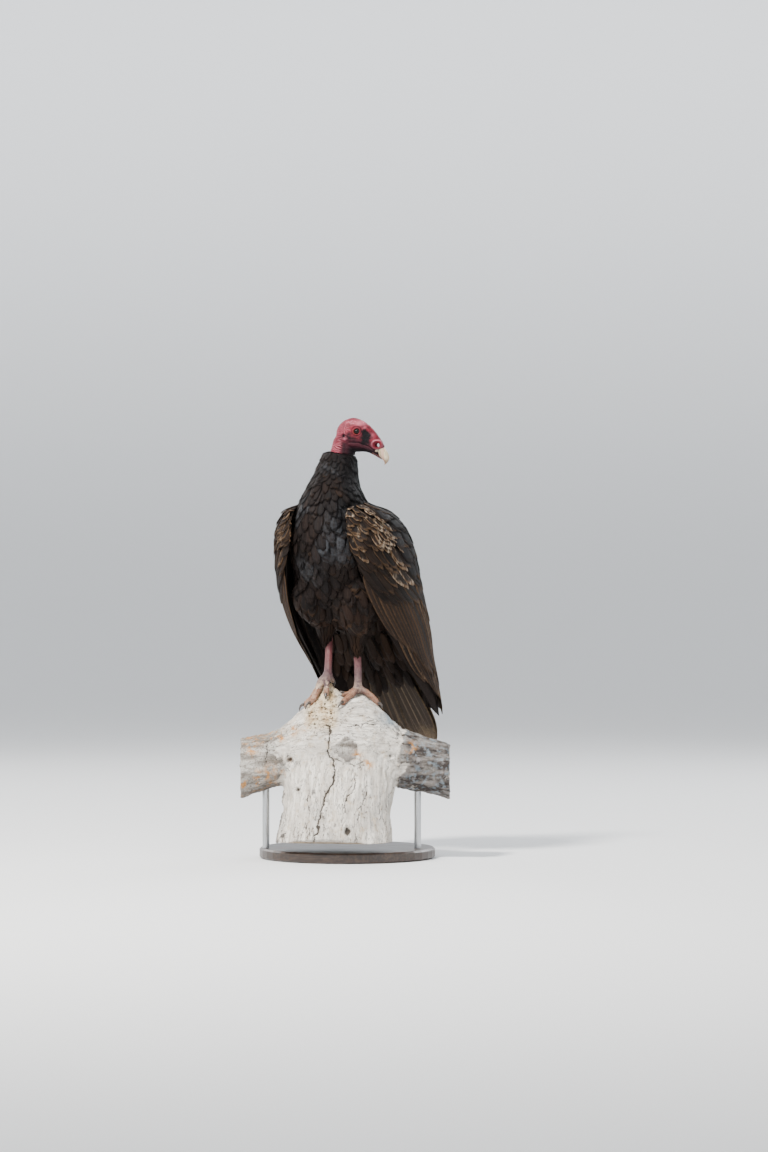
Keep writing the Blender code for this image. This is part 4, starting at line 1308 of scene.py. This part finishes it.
def makeVaneGroup():
    # the markings of one feather: soft fringe, worn flecks, barbs and shaft
    inputs = {"Along": 0.5, "Across": 0.0, "Pale": 0.0, "Fine": 26.0, "Tip": 1.0}
    group, start, end = newGroup("featherVane", inputs, ("Fringe", "Worn", "Barbs", "Shaft", "Height"))
    along, across, pale, fine = (start.outputs[name] for name in ("Along", "Across", "Pale", "Fine"))
    off = mathNode(group, "ABSOLUTE", across)
    place = objectPlace(group)
    speck = noiseNode(group, place, 190, 4, 0.65)
    slant = mathNode(group, "MULTIPLY_ADD", off, -0.35, along)
    wave = mathNode(group, "SINE", times(group, slant, times(group, fine, 6.2832)))
    barbs = ramp(group, wave, -0.2, 1.0)
    toTip = mathNode(group, "POWER", mathNode(group, "MAXIMUM", along, 0.0), 3.0)
    tipRim = times(group, ramp(group, along, 0.66, 1.0), start.outputs["Tip"])
    rim = mathNode(group, "MAXIMUM", ramp(group, off, 0.30, 1.0), tipRim)
    reach = times(group, rim, mathNode(group, "MULTIPLY_ADD", pale, 0.95, 0.48))
    broken = ramp(group, mathNode(group, "MULTIPLY_ADD", speck, 0.75, reach), 0.70, 1.45)
    fringe = times(group, broken, times(group, pale, 1.35, clamp=True))
    flecks = noiseNode(group, scaled(group, place, (1, 1, 0.36)), 210, 4, 0.65)
    spread = mathNode(group, "MULTIPLY_ADD", flecks, 1.9, times(group, reach, 0.24))
    worn = times(group, ramp(group, spread, 1.06, 1.50), ramp(group, pale, 0.50, 0.95))
    shaft = times(group, ramp(group, off, 0.0, 0.09, 1, 0), ramp(group, along, 0.9, 1.0, 1, 0))
    height = mathNode(group, "MULTIPLY_ADD", shaft, 1.2, times(group, wave, 0.35))
    height = mathNode(group, "MULTIPLY_ADD", toTip, 0.2, height)
    feed(group, end, {"Fringe": fringe, "Worn": worn, "Barbs": barbs, "Shaft": shaft, "Height": height})
    return group


vaneGroup = makeVaneGroup()
plumageTones = {
    "black": (0.0021, 0.0021, 0.0028),
    "deep": (0.0014, 0.0014, 0.0019),
    "brown": (0.030, 0.0165, 0.0095),
    # painted sheen: the blue-grey of the sheen on the black feathers
    "glossAndSheen": (0.050, 0.056, 0.064),
    "barbs": (0.050, 0.038, 0.030),
    "fringe": (0.20, 0.125, 0.070),
    "cream": (0.58, 0.49, 0.38),
    "quill": (0.09, 0.062, 0.042),
    "shaft": 0.10,
    "tip": 1.0,
}


def plumage(name, **changes):
    tones = dict(plumageTones, **changes)
    material, tree, shader = newMaterial(name)
    along, across, tone, warm, glossAndSheen, pale, fine = (
        attributeValue(tree, value)
        for value in ("along", "across", "tone", "warm", "glossAndSheen", "edgePale", "fine")
    )
    inputs = {"Along": along, "Across": across, "Pale": pale, "Fine": fine, "Tip": tones["tip"]}
    wear = useGroup(tree, vaneGroup, inputs).outputs
    mottle = ramp(tree, noiseNode(tree, objectPlace(tree), 240, 3, 0.6), 0.36, 0.62, 0.25, 0.9)
    # painted sheen: blue-grey mixed into the colour in mottled patches, where the roughness drops too
    glossAndSheen = times(tree, glossAndSheen, mottle)
    colour = paint(
        tree, mixColour(tree, warm, tones["black"], tones["brown"]),
        (glossAndSheen, 1, tones["glossAndSheen"]),
        (ramp(tree, tone, 0.0, 1.0, 0.0, 0.6), 1, tones["deep"]),
        (wear["Barbs"], 0.06, tones["barbs"]),
        (wear["Fringe"], 1, tones["fringe"]),
        (wear["Worn"], 1, tones["cream"]),
        (wear["Shaft"], tones["shaft"], tones["quill"]),
    )
    feed(tree, shader, {
        "Base Color": colour, "Roughness": ramp(tree, glossAndSheen, 0, 1, 0.70, 0.46),
        "Specular IOR Level": 0.10, "Normal": bumpNode(tree, wear["Height"], 0.5, 0.0005),
    })
    return material


print("feather patterns ready")


# neck, breast, belly, back and thighs

neckSizes = {
    "foot": 0.598,
    "gap": 0.0044,
    "gapBelow": 0.0034,
    "length": 0.042,
    "shorterAbove": 0.022,
    "width": 0.0175,
    "narrowerAbove": 0.0085,
    "rise": 0.0046,
    "flatterAbove": 0.0026,
    "barbs": 16,
}
breastSizes = {
    "top": 0.604,
    "rear": 0.075,
    "gap": 0.0084,
    "gapBelow": 0.0014,
    "length": 0.045,
    "longerBelow": 0.008,
    "hem": 0.012,
    "width": 0.0205,
    "widerBelow": 0.002,
    "rise": 0.0046,
    "barbs": 22,
    # painted sheen patches: how strong, across the view, height, radius, how tall
    "sheenPatches": (
        (1.9, 0.004, 0.584, 0.026, 0.9),
        (1.3, -0.018, 0.556, 0.016, 1),
        (1.3, -0.058, 0.523, 0.012, 1),
    ),
    # no feathers under the belly and over the top of a leg
    "bareBelly": 0.41,
    "bareThigh": 0.400,
    "bareRound": 0.026,
}
backSizes = {
    "top": 0.604,
    "front": 0.065,
    "gap": 0.0120,
    "length": 0.050,
    "width": 0.029,
    "rise": 0.0064,
    "barbs": 24,
}
ventSizes = {
    "gap": 0.0095,
    "length": 0.047,
    "width": 0.0165,
    "rise": 0.003,
    "legLength": 0.034,
    "legWidth": 0.012,
    "legRise": 0.0015,
    "barbs": 20,
    # middle y, height, half width
    "rows": (
        (0.136, 0.327, 0.054),
        (0.118, 0.345, 0.056),
        (0.096, 0.362, 0.054),
        (0.072, 0.376, 0.052),
        (0.050, 0.394, 0.050),
    ),
    # radius, height over the top of the leg
    "rings": ((0.012, -0.006), (0.017, 0.0), (0.023, 0.009)),
}
thighTops = ((0.0290, 0.006, 0.385), (-0.0330, 0.013, 0.399))


def bodyFlow(points):
    # down the neck, then down and back over the body towards the tail
    x, y, z = points.T
    share = 0.10 + 0.45 * step(0.60 - z, 0.0, 0.22)
    share = share * (1 - 0.55 * step(0.0 - y, -0.03, 0.05))
    strayX = 0.26 * np.sin(z * 310 + x * 190)
    strayY = 0.26 * np.sin(z * 270 + y * 230)
    return np.stack([x * 1.2 + strayX, share + strayY, share - 1], 1)


def carriedFor(points, warm, glossAndSheen, pale, fine, roll=0.10):
    many = len(points)
    return {
        "tone": rng.uniform(0.0, 1.0, many),
        "warm": np.clip(warm, 0, 1),
        "glossAndSheen": np.clip(glossAndSheen, 0, 1),
        "edgePale": np.clip(pale, 0, 1),
        "fine": np.full(many, fine),
        "roll": rng.normal(0, roll, many),
    }


def vary(many, low, high):
    return rng.uniform(low, high, many)


def layBody(name, material, roots, normals, length, width, rise, carried, flow=bodyFlow, hug=None):
    batches = layOn(bodySurface, patterns["body"], roots, normals, flow, length, width, rise, carried, hug)
    buildFeathers(name, batches, material)


def pastEdge(p, edge):
    # behind an edge between breast and back, which lies further back at the vent
    return p[:, 1] >= edge + 0.1 * (p[:, 2] < 0.42)


def buildNeck(material):
    sizes = neckSizes
    roots, normals = bodySurface.scatter(
        lambda p: sizes["gap"] + sizes["gapBelow"] * step(0.70 - p[:, 2], 0.02, 0.11),
        lambda p: (p[:, 2] > sizes["foot"]) & (belowNeckTop(p) > -0.0005),
    )
    many = len(roots)
    across = roots @ np.array(alongLimb)
    high = step(roots[:, 2], 0.60, 0.70)
    length = (sizes["length"] - sizes["shorterAbove"] * high) * vary(many, 0.8, 1.2)
    width = (sizes["width"] - sizes["narrowerAbove"] * high) * vary(many, 0.9, 1.1)
    shadedSide = step(across, 0.004, 0.022)
    rise = (sizes["rise"] - sizes["flatterAbove"] * high) * vary(many, 0.6, 1.2) * (1 - 0.45 * shadedSide)
    # painted light: on the left of the view, towards the key light, the neck feathers get sheen, brown and
    # pale edges; on the right they stay black
    litSide = step(-across, -0.012, 0.020)
    glossAndSheen = (0.10 + 0.75 * step(noiseAt(roots, 30, 31, 2), 0.0, 0.35)) * litSide * vary(many, 0.1, 1.0)
    warm = (0.25 + 0.5 * step(noiseAt(roots, 40, 32, 2), 0.0, 0.4)) * litSide
    pale = 0.35 * litSide * vary(many, 0, 1) ** 2
    carried = carriedFor(roots, warm, glossAndSheen, pale, sizes["barbs"])
    # painted shade: the right side of the neck is painted deepest black
    carried["tone"] = np.maximum(carried["tone"], shadedSide)
    layBody("neckFeathers", material, roots, normals, length, width, rise, carried)


def buildBreast(material):
    sizes = breastSizes
    roots, normals = bodySurface.scatter(
        lambda p: sizes["gap"] + sizes["gapBelow"] * step(0.58 - p[:, 2], 0, 0.2),
        lambda p: (p[:, 2] <= sizes["top"]) & ~pastEdge(p, sizes["rear"]),
    )
    # none where they would hang free under the body or out of the top of a leg
    x, y, z = roots.T
    hanging = (normals[:, 2] < -0.45) & (z < sizes["bareBelly"]) & (y < 0.10)
    for topX, topY, _ in thighTops:
        hanging |= (np.hypot(x - topX, y - topY) < sizes["bareRound"]) & (z < sizes["bareThigh"])
    roots, normals = roots[~hanging], normals[~hanging]
    many, z = len(roots), roots[:, 2]
    across = roots @ np.array(alongLimb)
    low = step(0.50 - z, 0.0, 0.11)
    hem = step(0.405 - z, 0.0, 0.02)
    length = (sizes["length"] + sizes["longerBelow"] * low) * vary(many, 0.85, 1.15) + sizes["hem"] * hem
    width = (sizes["width"] + sizes["widerBelow"] * low) * vary(many, 0.9, 1.12)
    rise = sizes["rise"] * vary(many, 0.6, 1.4)
    # painted sheen over the upper breast, strongest in the listed patches
    glossAndSheen = 0.22 * step(noiseAt(roots, 22, 33, 2), 0.15, 0.5)
    for strength, place, height, radius, tall in sizes["sheenPatches"]:
        glossAndSheen = glossAndSheen + strength * bump(np.hypot(across - place, (z - height) * tall), radius)
    glossAndSheen = glossAndSheen * vary(many, 0.35, 1.0) * step(z, 0.44, 0.52)
    warm = 0.34 + 0.62 * low + 0.35 * noiseAt(roots, 25, 34, 2)
    pale = 0.08 + 0.35 * step(noiseAt(roots, 35, 35, 2), 0.05, 0.45) * vary(many, 0.2, 1) + 0.12 * low
    carried = carriedFor(roots, warm, glossAndSheen, pale, sizes["barbs"])
    layBody("breastFeathers", material, roots, normals, length, width, rise, carried, hug=1 - 0.75 * hem)


def buildBack(material):
    sizes = backSizes
    roots, normals = bodySurface.scatter(
        lambda p: np.full(len(p), sizes["gap"]),
        lambda p: (p[:, 2] <= sizes["top"]) & pastEdge(p, sizes["front"]),
    )
    many = len(roots)
    length = sizes["length"] * vary(many, 0.85, 1.15)
    width = sizes["width"] * vary(many, 0.9, 1.12)
    rise = sizes["rise"] * vary(many, 0.65, 1.3)
    # painted sheen over the back
    glossAndSheen = 0.45 * step(noiseAt(roots, 22, 36, 2), 0.0, 0.5) * vary(many, 0.25, 1.0)
    warm = 0.30 + 0.30 * noiseAt(roots, 25, 37, 2)
    pale = 0.30 + 0.35 * vary(many, 0, 1) ** 2
    carried = carriedFor(roots, warm, glossAndSheen, pale, sizes["barbs"])
    layBody("backFeathers", material, roots, normals, length, width, rise, carried)


def buildVent(material):
    # soft feathers under the tail and round the top of each leg
    sizes, made = ventSizes, []
    slope, under = np.array((0.0, 0.62, -0.785)), np.array((0.0, -0.785, -0.62))
    for row, (y, z, half) in enumerate(sizes["rows"]):
        for x in np.arange(-half, half + 0.001, sizes["gap"]):
            x = x + 0.0048 * (row % 2) + rng.normal(0, 0.0026)
            root = (x, y + 0.25 * abs(x), z + rng.normal(0, 0.0065) - 0.10 * abs(x))
            head = unit(slope + np.array((x * 2.0, 0, 0)) + rng.normal(0, 0.07, 3))
            made.append((root, head, unit(under + np.array((x * 3.0, 0, 0))), sizes["length"]))
    for x, y, z in thighTops:
        for ring, (radius, drop) in enumerate(sizes["rings"]):
            for turn in np.arange(0, 360, 30) + 15 * ring:
                a = math.radians(turn + rng.normal(0, 4))
                out = np.array((math.cos(a), math.sin(a), 0))
                head = unit(np.array((0, 0.03, -1.0)) - out * (0.22 + 0.10 * ring))
                root, length = np.array((x, y, z + drop)) + out * radius, sizes["legLength"] + 0.002 * ring
                made.append((root, head, unit(out + np.array((0, 0, 0.1))), length))
    roots, heads, outs, lengths = (np.array(values) for values in zip(*made))
    outs = unit(outs - heads * (outs * heads).sum(1)[:, None])
    many = len(roots)
    legs = lengths < sizes["length"]
    width = np.where(legs, sizes["legWidth"], sizes["width"]) * vary(many, 0.85, 1.15)
    warm = np.where(legs, 0.75, 0.85) + rng.normal(0, 0.1, many)
    pale = np.where(legs, 0.25, 0.30) * vary(many, 0.3, 1)
    carried = carriedFor(roots, warm, 0 * lengths, pale, sizes["barbs"])
    length, rise = lengths * vary(many, 0.9, 1.1), np.where(legs, sizes["legRise"], sizes["rise"])
    free = np.zeros(many)
    layBody("ventFeathers", material, roots, outs, length, width, rise, carried, lambda p: heads, free)


darkPlumage = plumage("darkPlumage", brown=(0.0185, 0.0080, 0.0038), fringe=(0.085, 0.046, 0.024))
buildNeck(darkPlumage)
buildBreast(darkPlumage)
buildBack(darkPlumage)
buildVent(plumage("ventPlumage", brown=(0.018, 0.0082, 0.0038), fringe=(0.045, 0.024, 0.012)))
print("body feathers ready")


# wings: rows of feathers laid on each folded wing; f runs from its back edge to its front edge

wingSizes = {
    # count, from, to, root heights, where the lengths are given, lengths,
    # width, rise at root and tip, barbs, warmth
    "quillRows": (
        (
            15, 0.10, 0.88, (0.425, 0.405), (0.10, 0.35, 0.55, 0.88), (0.176, 0.196, 0.200, 0.150),
            0.026, (-0.0008, 0.0010), 60, 0.78,
        ),
        (
            27, 0.04, 0.95, (0.470, 0.490), (0.04, 0.40, 0.70, 0.95), (0.165, 0.200, 0.186, 0.118),
            0.023, (-0.0002, 0.0022), 52, 0.74,
        ),
        (
            13, -0.02, 0.50, (0.530, 0.515), (0.0, 0.25, 0.40, 0.50), (0.120, 0.132, 0.126, 0.110),
            0.032, (0.0004, 0.0030), 40, 0.35,
        ),
    ),
    # kind, heights, from, to, gap, length, width, rise at root and tip, jitter, barbs
    "covertRows": (
        ("wide", (0.486,), 0.12, 0.99, 0.0145, 0.058, 0.0225, (0.0004, 0.0034), 0.16, 28),
        ("wide", (0.508,), 0.12, 1.00, 0.0140, 0.050, 0.0215, (0.0004, 0.0036), 0.16, 28),
        ("body", (0.525, 0.538), 0.12, 1.02, 0.0125, 0.040, 0.0195, (0.0002, 0.0034), 0.30, 20),
        (
            "body", (0.549, 0.5565, 0.564, 0.5715, 0.579, 0.586, 0.593, 0.600),
            0.05, 1.12, 0.0100, 0.024, 0.0150, (0.0000, 0.0034), 0.30, 20,
        ),
    ),
    # the pale band over the coverts: heights, and its place there
    "band": ((0.47, 0.49, 0.545, 0.59), (0.63, 0.68, 0.73, 0.76)),
    "bandHalf": 0.085,
    "innerCount": 11,
    "innerTop": 0.455,
    "innerLengths": ((0.15, 0.5, 0.92), (0.215, 0.240, 0.150)),
    "innerWidth": 0.036,
    "innerRise": (-0.0008, 0.0006),
    "innerHeights": (0.480, 0.505, 0.530, 0.555, 0.58),
    "innerCovert": (0.052, 0.026),
    "innerCovertRise": (-0.0006, 0.0012),
    "scapularHeights": (0.545, 0.562, 0.578, 0.592, 0.603),
    "scapularLengths": ((0.54, 0.605), (0.078, 0.050)),
    "scapularWidth": 0.034,
    "scapularRise": (0.0010, 0.0040),
    "brown": (0.022, 0.0115, 0.0062),
    "fringe": (0.115, 0.066, 0.035),
    "cream": {"left": (0.33, 0.255, 0.185), "right": (0.20, 0.135, 0.085)},
}


def wingShell(sign, f, z):
    middle, halfWidth, halfDepth, front, back, thick = wingValues(z)
    turn = np.radians(back + np.clip(f, 0, 1) * (front - back))
    power = 2 / wingBoxiness
    x = sign * halfWidth * np.abs(np.cos(turn)) ** power
    y = middle - halfDepth * np.abs(np.sin(turn)) ** power * np.sign(np.sin(turn))
    return np.stack([x, y, z + 0 * x], -1), thick


def wingNormal(sign, f, z):
    low, high = np.clip(f - 0.02, 0, 1), np.clip(f + 0.02, 0, 1)
    alongF = wingShell(sign, high, z)[0] - wingShell(sign, low, z)[0]
    alongZ = wingShell(sign, f, z + 0.004)[0] - wingShell(sign, f, z - 0.004)[0]
    return unit(np.cross(alongZ, alongF) * sign), unit(alongF)


def wingSpan(sign, z):
    # the length of one unit of f at this height
    rungs = [wingShell(sign, np.full_like(z, f), z)[0] for f in np.linspace(0, 1, 13)]
    return sum(np.linalg.norm(here - last, axis=-1) for last, here in zip(rungs, rungs[1:]))


def wingPlace(sign, f, z, height, inner):
    # past either edge the place turns round to the other face
    place, thick = wingShell(sign, f, z)
    normal, sideways = wingNormal(sign, f, z)
    if inner:
        return place - normal * (thick + height)[..., None]
    over = np.maximum(f - 1, 0) + np.maximum(-f, 0)
    turn = np.clip(over * wingSpan(sign, z) / (thick * 0.85), 0, 1) * math.pi
    face = np.where(f > 0.5, 1.0, -1.0)
    out = np.cos(turn) * (thick / 2 + height) - thick / 2
    bulge = np.where(over > 0, np.sin(turn), 0.0)
    return place + normal * out[..., None] + sideways * (face * bulge * (0.003 + height))[..., None]


def layOnWing(sign, patternList, f, z, length, width, heights, tilt, carried, drift=None, inner=False):
    batches = []
    kinds = rng.integers(0, len(patternList), len(f))
    slope = np.linalg.norm(wingShell(sign, f, z - 0.01)[0] - wingShell(sign, f, z + 0.01)[0], axis=1) / 0.02
    drift = 0 * f if drift is None else drift
    for kind, pattern in enumerate(patternList):
        mine = np.where(kinds == kind)[0]
        if not len(mine):
            continue
        s, t, thick = pattern["place"].T
        tipward, wide = np.clip(t, 0, 1)[None], width[mine][:, None]
        zz = z[mine][:, None] - (length[mine] / slope[mine])[:, None] * t[None]
        ff = f[mine][:, None] + drift[mine][:, None] * t[None] + wide * 0.5 * s[None] / wingSpan(sign, zz)
        up = heights[0] + (heights[1] - heights[0]) * tipward ** 1.2 + tilt * s * np.clip(t * 2.5, 0, 1)
        up = up - 0.04 * wide * s[None] ** 2 * tipward
        up = up + carried["roll"][mine][:, None] * 0.004 * (t * s)[None]
        outward = wingNormal(sign, ff, zz)[0] * (-1 if inner else 1)
        corners = wingPlace(sign, ff, zz, up, inner) + outward * thick[None, :, None]
        used = flipped(pattern) if (sign < 0) != inner else pattern
        numbers = {key: values[mine] for key, values in carried.items() if key != "roll"}
        roots = wingShell(sign, f[mine], z[mine])[0]
        batches.append((used, corners, numbers, unwrapOf(roots) + np.array((0.0, 0.004 if inner else 0.0))))
    return batches


def rowsOf(levels, spacing, low, high, sign, jitter=0.16):
    f, z = [], []
    for i, level in enumerate(levels):
        gap = spacing / float(wingSpan(sign, np.array([level]))[0])
        row = np.arange(low + (i % 2) * gap * 0.5, high, gap)
        f.append(row + rng.normal(0, jitter, len(row)) * gap)
        z.append(np.full(len(row), level) + rng.normal(0, jitter * 0.020, len(row)))
    return np.concatenate(f), np.concatenate(z)


def around(count, amount=0.08):
    return vary(count, 1 - amount, 1 + amount)


def layQuills(sign):
    # primaries, then secondaries, then the long inner feathers over them
    batches = []
    for count, low, high, levels, reach, lengths, wide, heights, fine, warmth in wingSizes["quillRows"]:
        f = np.linspace(low, high, count)
        z = np.interp(f, (low, high), levels) + rng.normal(0, 0.0015, count)
        length = np.interp(f, reach, lengths) * around(count, 0.06)
        warm, pale = warmth * around(count, 0.15), 0.72 * around(count, 0.3)
        carried = carriedFor(f, warm, 0 * f + 0.06, pale, fine, roll=0)
        carried["edgePale"] *= 0.75
        width = wide * around(count)
        batches += layOnWing(sign, patterns["long"], f, z, length, width, heights, 0.0013, carried)
    return batches


def layCoverts(sign):
    # from the lowest row up
    batches = []
    for kind, levels, low, high, gap, long, wide, heights, jitter, fine in wingSizes["covertRows"]:
        f, z = rowsOf(levels, gap, low, high, sign, jitter)
        many = len(f)
        band = bump(f - np.interp(z, *wingSizes["band"]), wingSizes["bandHalf"]) * step(z, 0.475, 0.515)
        edge = bump(f - 1.0, 0.05) * step(z, 0.50, 0.56)
        scatter = noiseAt(np.stack([f * 0.25, z, z], 1), 45, 51, 2)
        if sign > 0:
            crest = step(z, 0.575, 0.600) * step(f, 0.55, 0.75)
            pale = 0.22 + 0.95 * band + 0.55 * edge + 0.45 * crest + 0.7 * scatter * (0.4 + band + crest)
            warm = 0.42 + 0.45 * band + 0.35 * scatter
        else:
            pale = 0.30 + 0.22 * step(f, 0.6, 0.95) * step(z, 0.50, 0.58) + 0.5 * scatter
            warm = 0.60 + 0.30 * scatter
        outer = step(f, 0.42, 0.62)
        pale = pale * (0.35 + 0.65 * outer) + rng.normal(0, 0.10, many)
        # painted sheen on the back half of the wing and along the upper rows
        glossAndSheen = 0.25 * (1 - step(f, 0.40, 0.62)) + 0.25 * step(scatter, 0.1, 0.4) * step(z, 0.54, 0.57)
        carried = carriedFor(f, warm * (0.3 + 0.7 * outer), glossAndSheen, pale, fine)
        length, width = long * around(many, 0.12), wide * around(many, 0.1)
        drift = -1.6 * long * step(f, 0.3, 0.6)
        batches += layOnWing(sign, patterns[kind], f, z, length, width, heights, 0.0004, carried, drift)
    return batches


def layInner(sign):
    # the far face of the wing, towards the body: long feathers, then short ones over them
    sizes, count = wingSizes, wingSizes["innerCount"]
    reach, lengths = sizes["innerLengths"]
    f = np.linspace(reach[0], reach[-1], count)
    z = np.full(count, sizes["innerTop"])
    warm, pale = 0.35 * around(count), 0.15 * around(count)
    carried = carriedFor(f, warm, 0 * f + 0.1, pale, 60, roll=0)
    length, width = np.interp(f, reach, lengths), sizes["innerWidth"] * around(count)
    rise = sizes["innerRise"]
    quills = layOnWing(sign, patterns["long"], f, z, length, width, rise, 0.0008, carried, inner=True)
    f, z = rowsOf(sizes["innerHeights"], 0.017, 0.2, 0.98, sign)
    carried = carriedFor(f, 0 * f + 0.3, 0 * f + 0.05, 0 * f + 0.1, 24)
    length, width = (size * around(len(f)) for size in sizes["innerCovert"])
    rise = sizes["innerCovertRise"]
    coverts = layOnWing(sign, patterns["wide"], f, z, length, width, rise, 0.0002, carried, inner=True)
    return quills, coverts


def layScapulars(sign):
    # long dark feathers from the shoulder over the top of the wing
    sizes = wingSizes
    f, z = rowsOf(sizes["scapularHeights"], 0.020, -0.06, 0.60, sign)
    many = len(f)
    length = np.interp(z, *sizes["scapularLengths"]) * vary(many, 0.85, 1.15)
    pale = 0.15 + 0.5 * vary(many, 0, 1) ** 3
    carried = carriedFor(f, 0.15 + 0 * f, vary(many, 0.0, 0.16), pale, 24)
    width = sizes["scapularWidth"] * vary(many, 0.85, 1.15)
    return layOnWing(sign, patterns["wide"], f, z, length, width, sizes["scapularRise"], 0.0004, carried)


quillTones = {"brown": (0.024, 0.0125, 0.0070), "fringe": (0.105, 0.058, 0.030), "cream": (0.32, 0.23, 0.15)}
quillPlumage = plumage("quillPlumage", shaft=0.5, tip=0.7, **quillTones)
for sign, name in ((1, "left"), (-1, "right")):
    quills, coverts = layQuills(sign), layCoverts(sign)
    innerQuills, innerCoverts = layInner(sign)
    tones = {"brown": wingSizes["brown"], "fringe": wingSizes["fringe"], "cream": wingSizes["cream"][name]}
    buildFeathers(name + "WingCoverts", coverts + innerCoverts, plumage(name + "WingPlumage", **tones))
    buildFeathers(name + "FlightFeathers", quills + innerQuills, quillPlumage)
    buildFeathers(name + "Scapulars", layScapulars(sign), darkPlumage)
print("wings ready")


# tail

tailSizes = {
    # y, height, half width, half thickness
    "stations": (
        (0.100, 0.400, 0.016, 0.006),
        (0.130, 0.372, 0.024, 0.006),
        (0.165, 0.336, 0.040, 0.007),
        (0.205, 0.293, 0.056, 0.007),
        (0.256, 0.240, 0.066, 0.006),
        (0.284, 0.211, 0.066, 0.005),
        (0.302, 0.192, 0.062, 0.003),
    ),
    # face, how far out, count, feather width
    "rows": ((1, 1.0, 12, 0.029), (-1, 0.95, 10, 0.030)),
    "start": 0.012,
    "rounded": 0.035,
    "sag": 0.006,
    "tones": {"brown": (0.042, 0.028, 0.018), "fringe": (0.17, 0.118, 0.070), "cream": (0.34, 0.27, 0.19)},
}


def buildTail(material):
    sizes = tailSizes
    table = smoothTable(sizes["stations"], 200)
    run = np.concatenate([[0], np.cumsum(np.hypot(np.diff(table[:, 0]), np.diff(table[:, 1])))])
    slope = unit(np.stack([0 * run, np.gradient(table[:, 0]), np.gradient(table[:, 1])], 1))
    batches = []
    for face, out, count, wide in sizes["rows"]:
        for i, slot in enumerate(np.linspace(-out, out, count)):
            pattern = patterns["long"][i % 2]
            s, t, thick = pattern["place"].T
            end = run[-1] * (1 - sizes["rounded"] * slot ** 2) * rng.uniform(0.985, 1.0)
            d = sizes["start"] + (end - sizes["start"]) * t
            y, z, across, half = (np.interp(d, run, column) for column in table.T)
            x = across * slot * 0.80 + 0.5 * wide * s * (0.55 + 0.45 * t)
            along = np.stack([np.interp(d, run, column) for column in slope.T], 1)
            up = unit(np.cross(along, np.array((-1.0, 0, 0))))
            level = half - 0.0018 + (1 - abs(slot)) * 0.0022 - 0.0009 * s * np.sign(slot + 1e-6)
            sag = -sizes["sag"] * (x / 0.05) ** 2
            place = np.stack([x, y, z], 1) + up * (sag + face * (level + thick))[:, None]
            numbers = {
                "tone": np.array([rng.uniform(0, 0.7)]),
                "warm": np.array([0.85]),
                "glossAndSheen": np.array([0.05]),
                "edgePale": np.array([rng.uniform(0.35, 0.6)]),
                "fine": np.array([60.0]),
            }
            used = pattern if face > 0 else flipped(pattern)
            batches.append((used, place[None], numbers, unwrapOf(place[:1]) + np.array((0, 0.01 * i))))
    buildFeathers("tailFeathers", batches, material)


buildTail(plumage("tailPlumage", shaft=0.8, **tailSizes["tones"]))
print("tail ready")
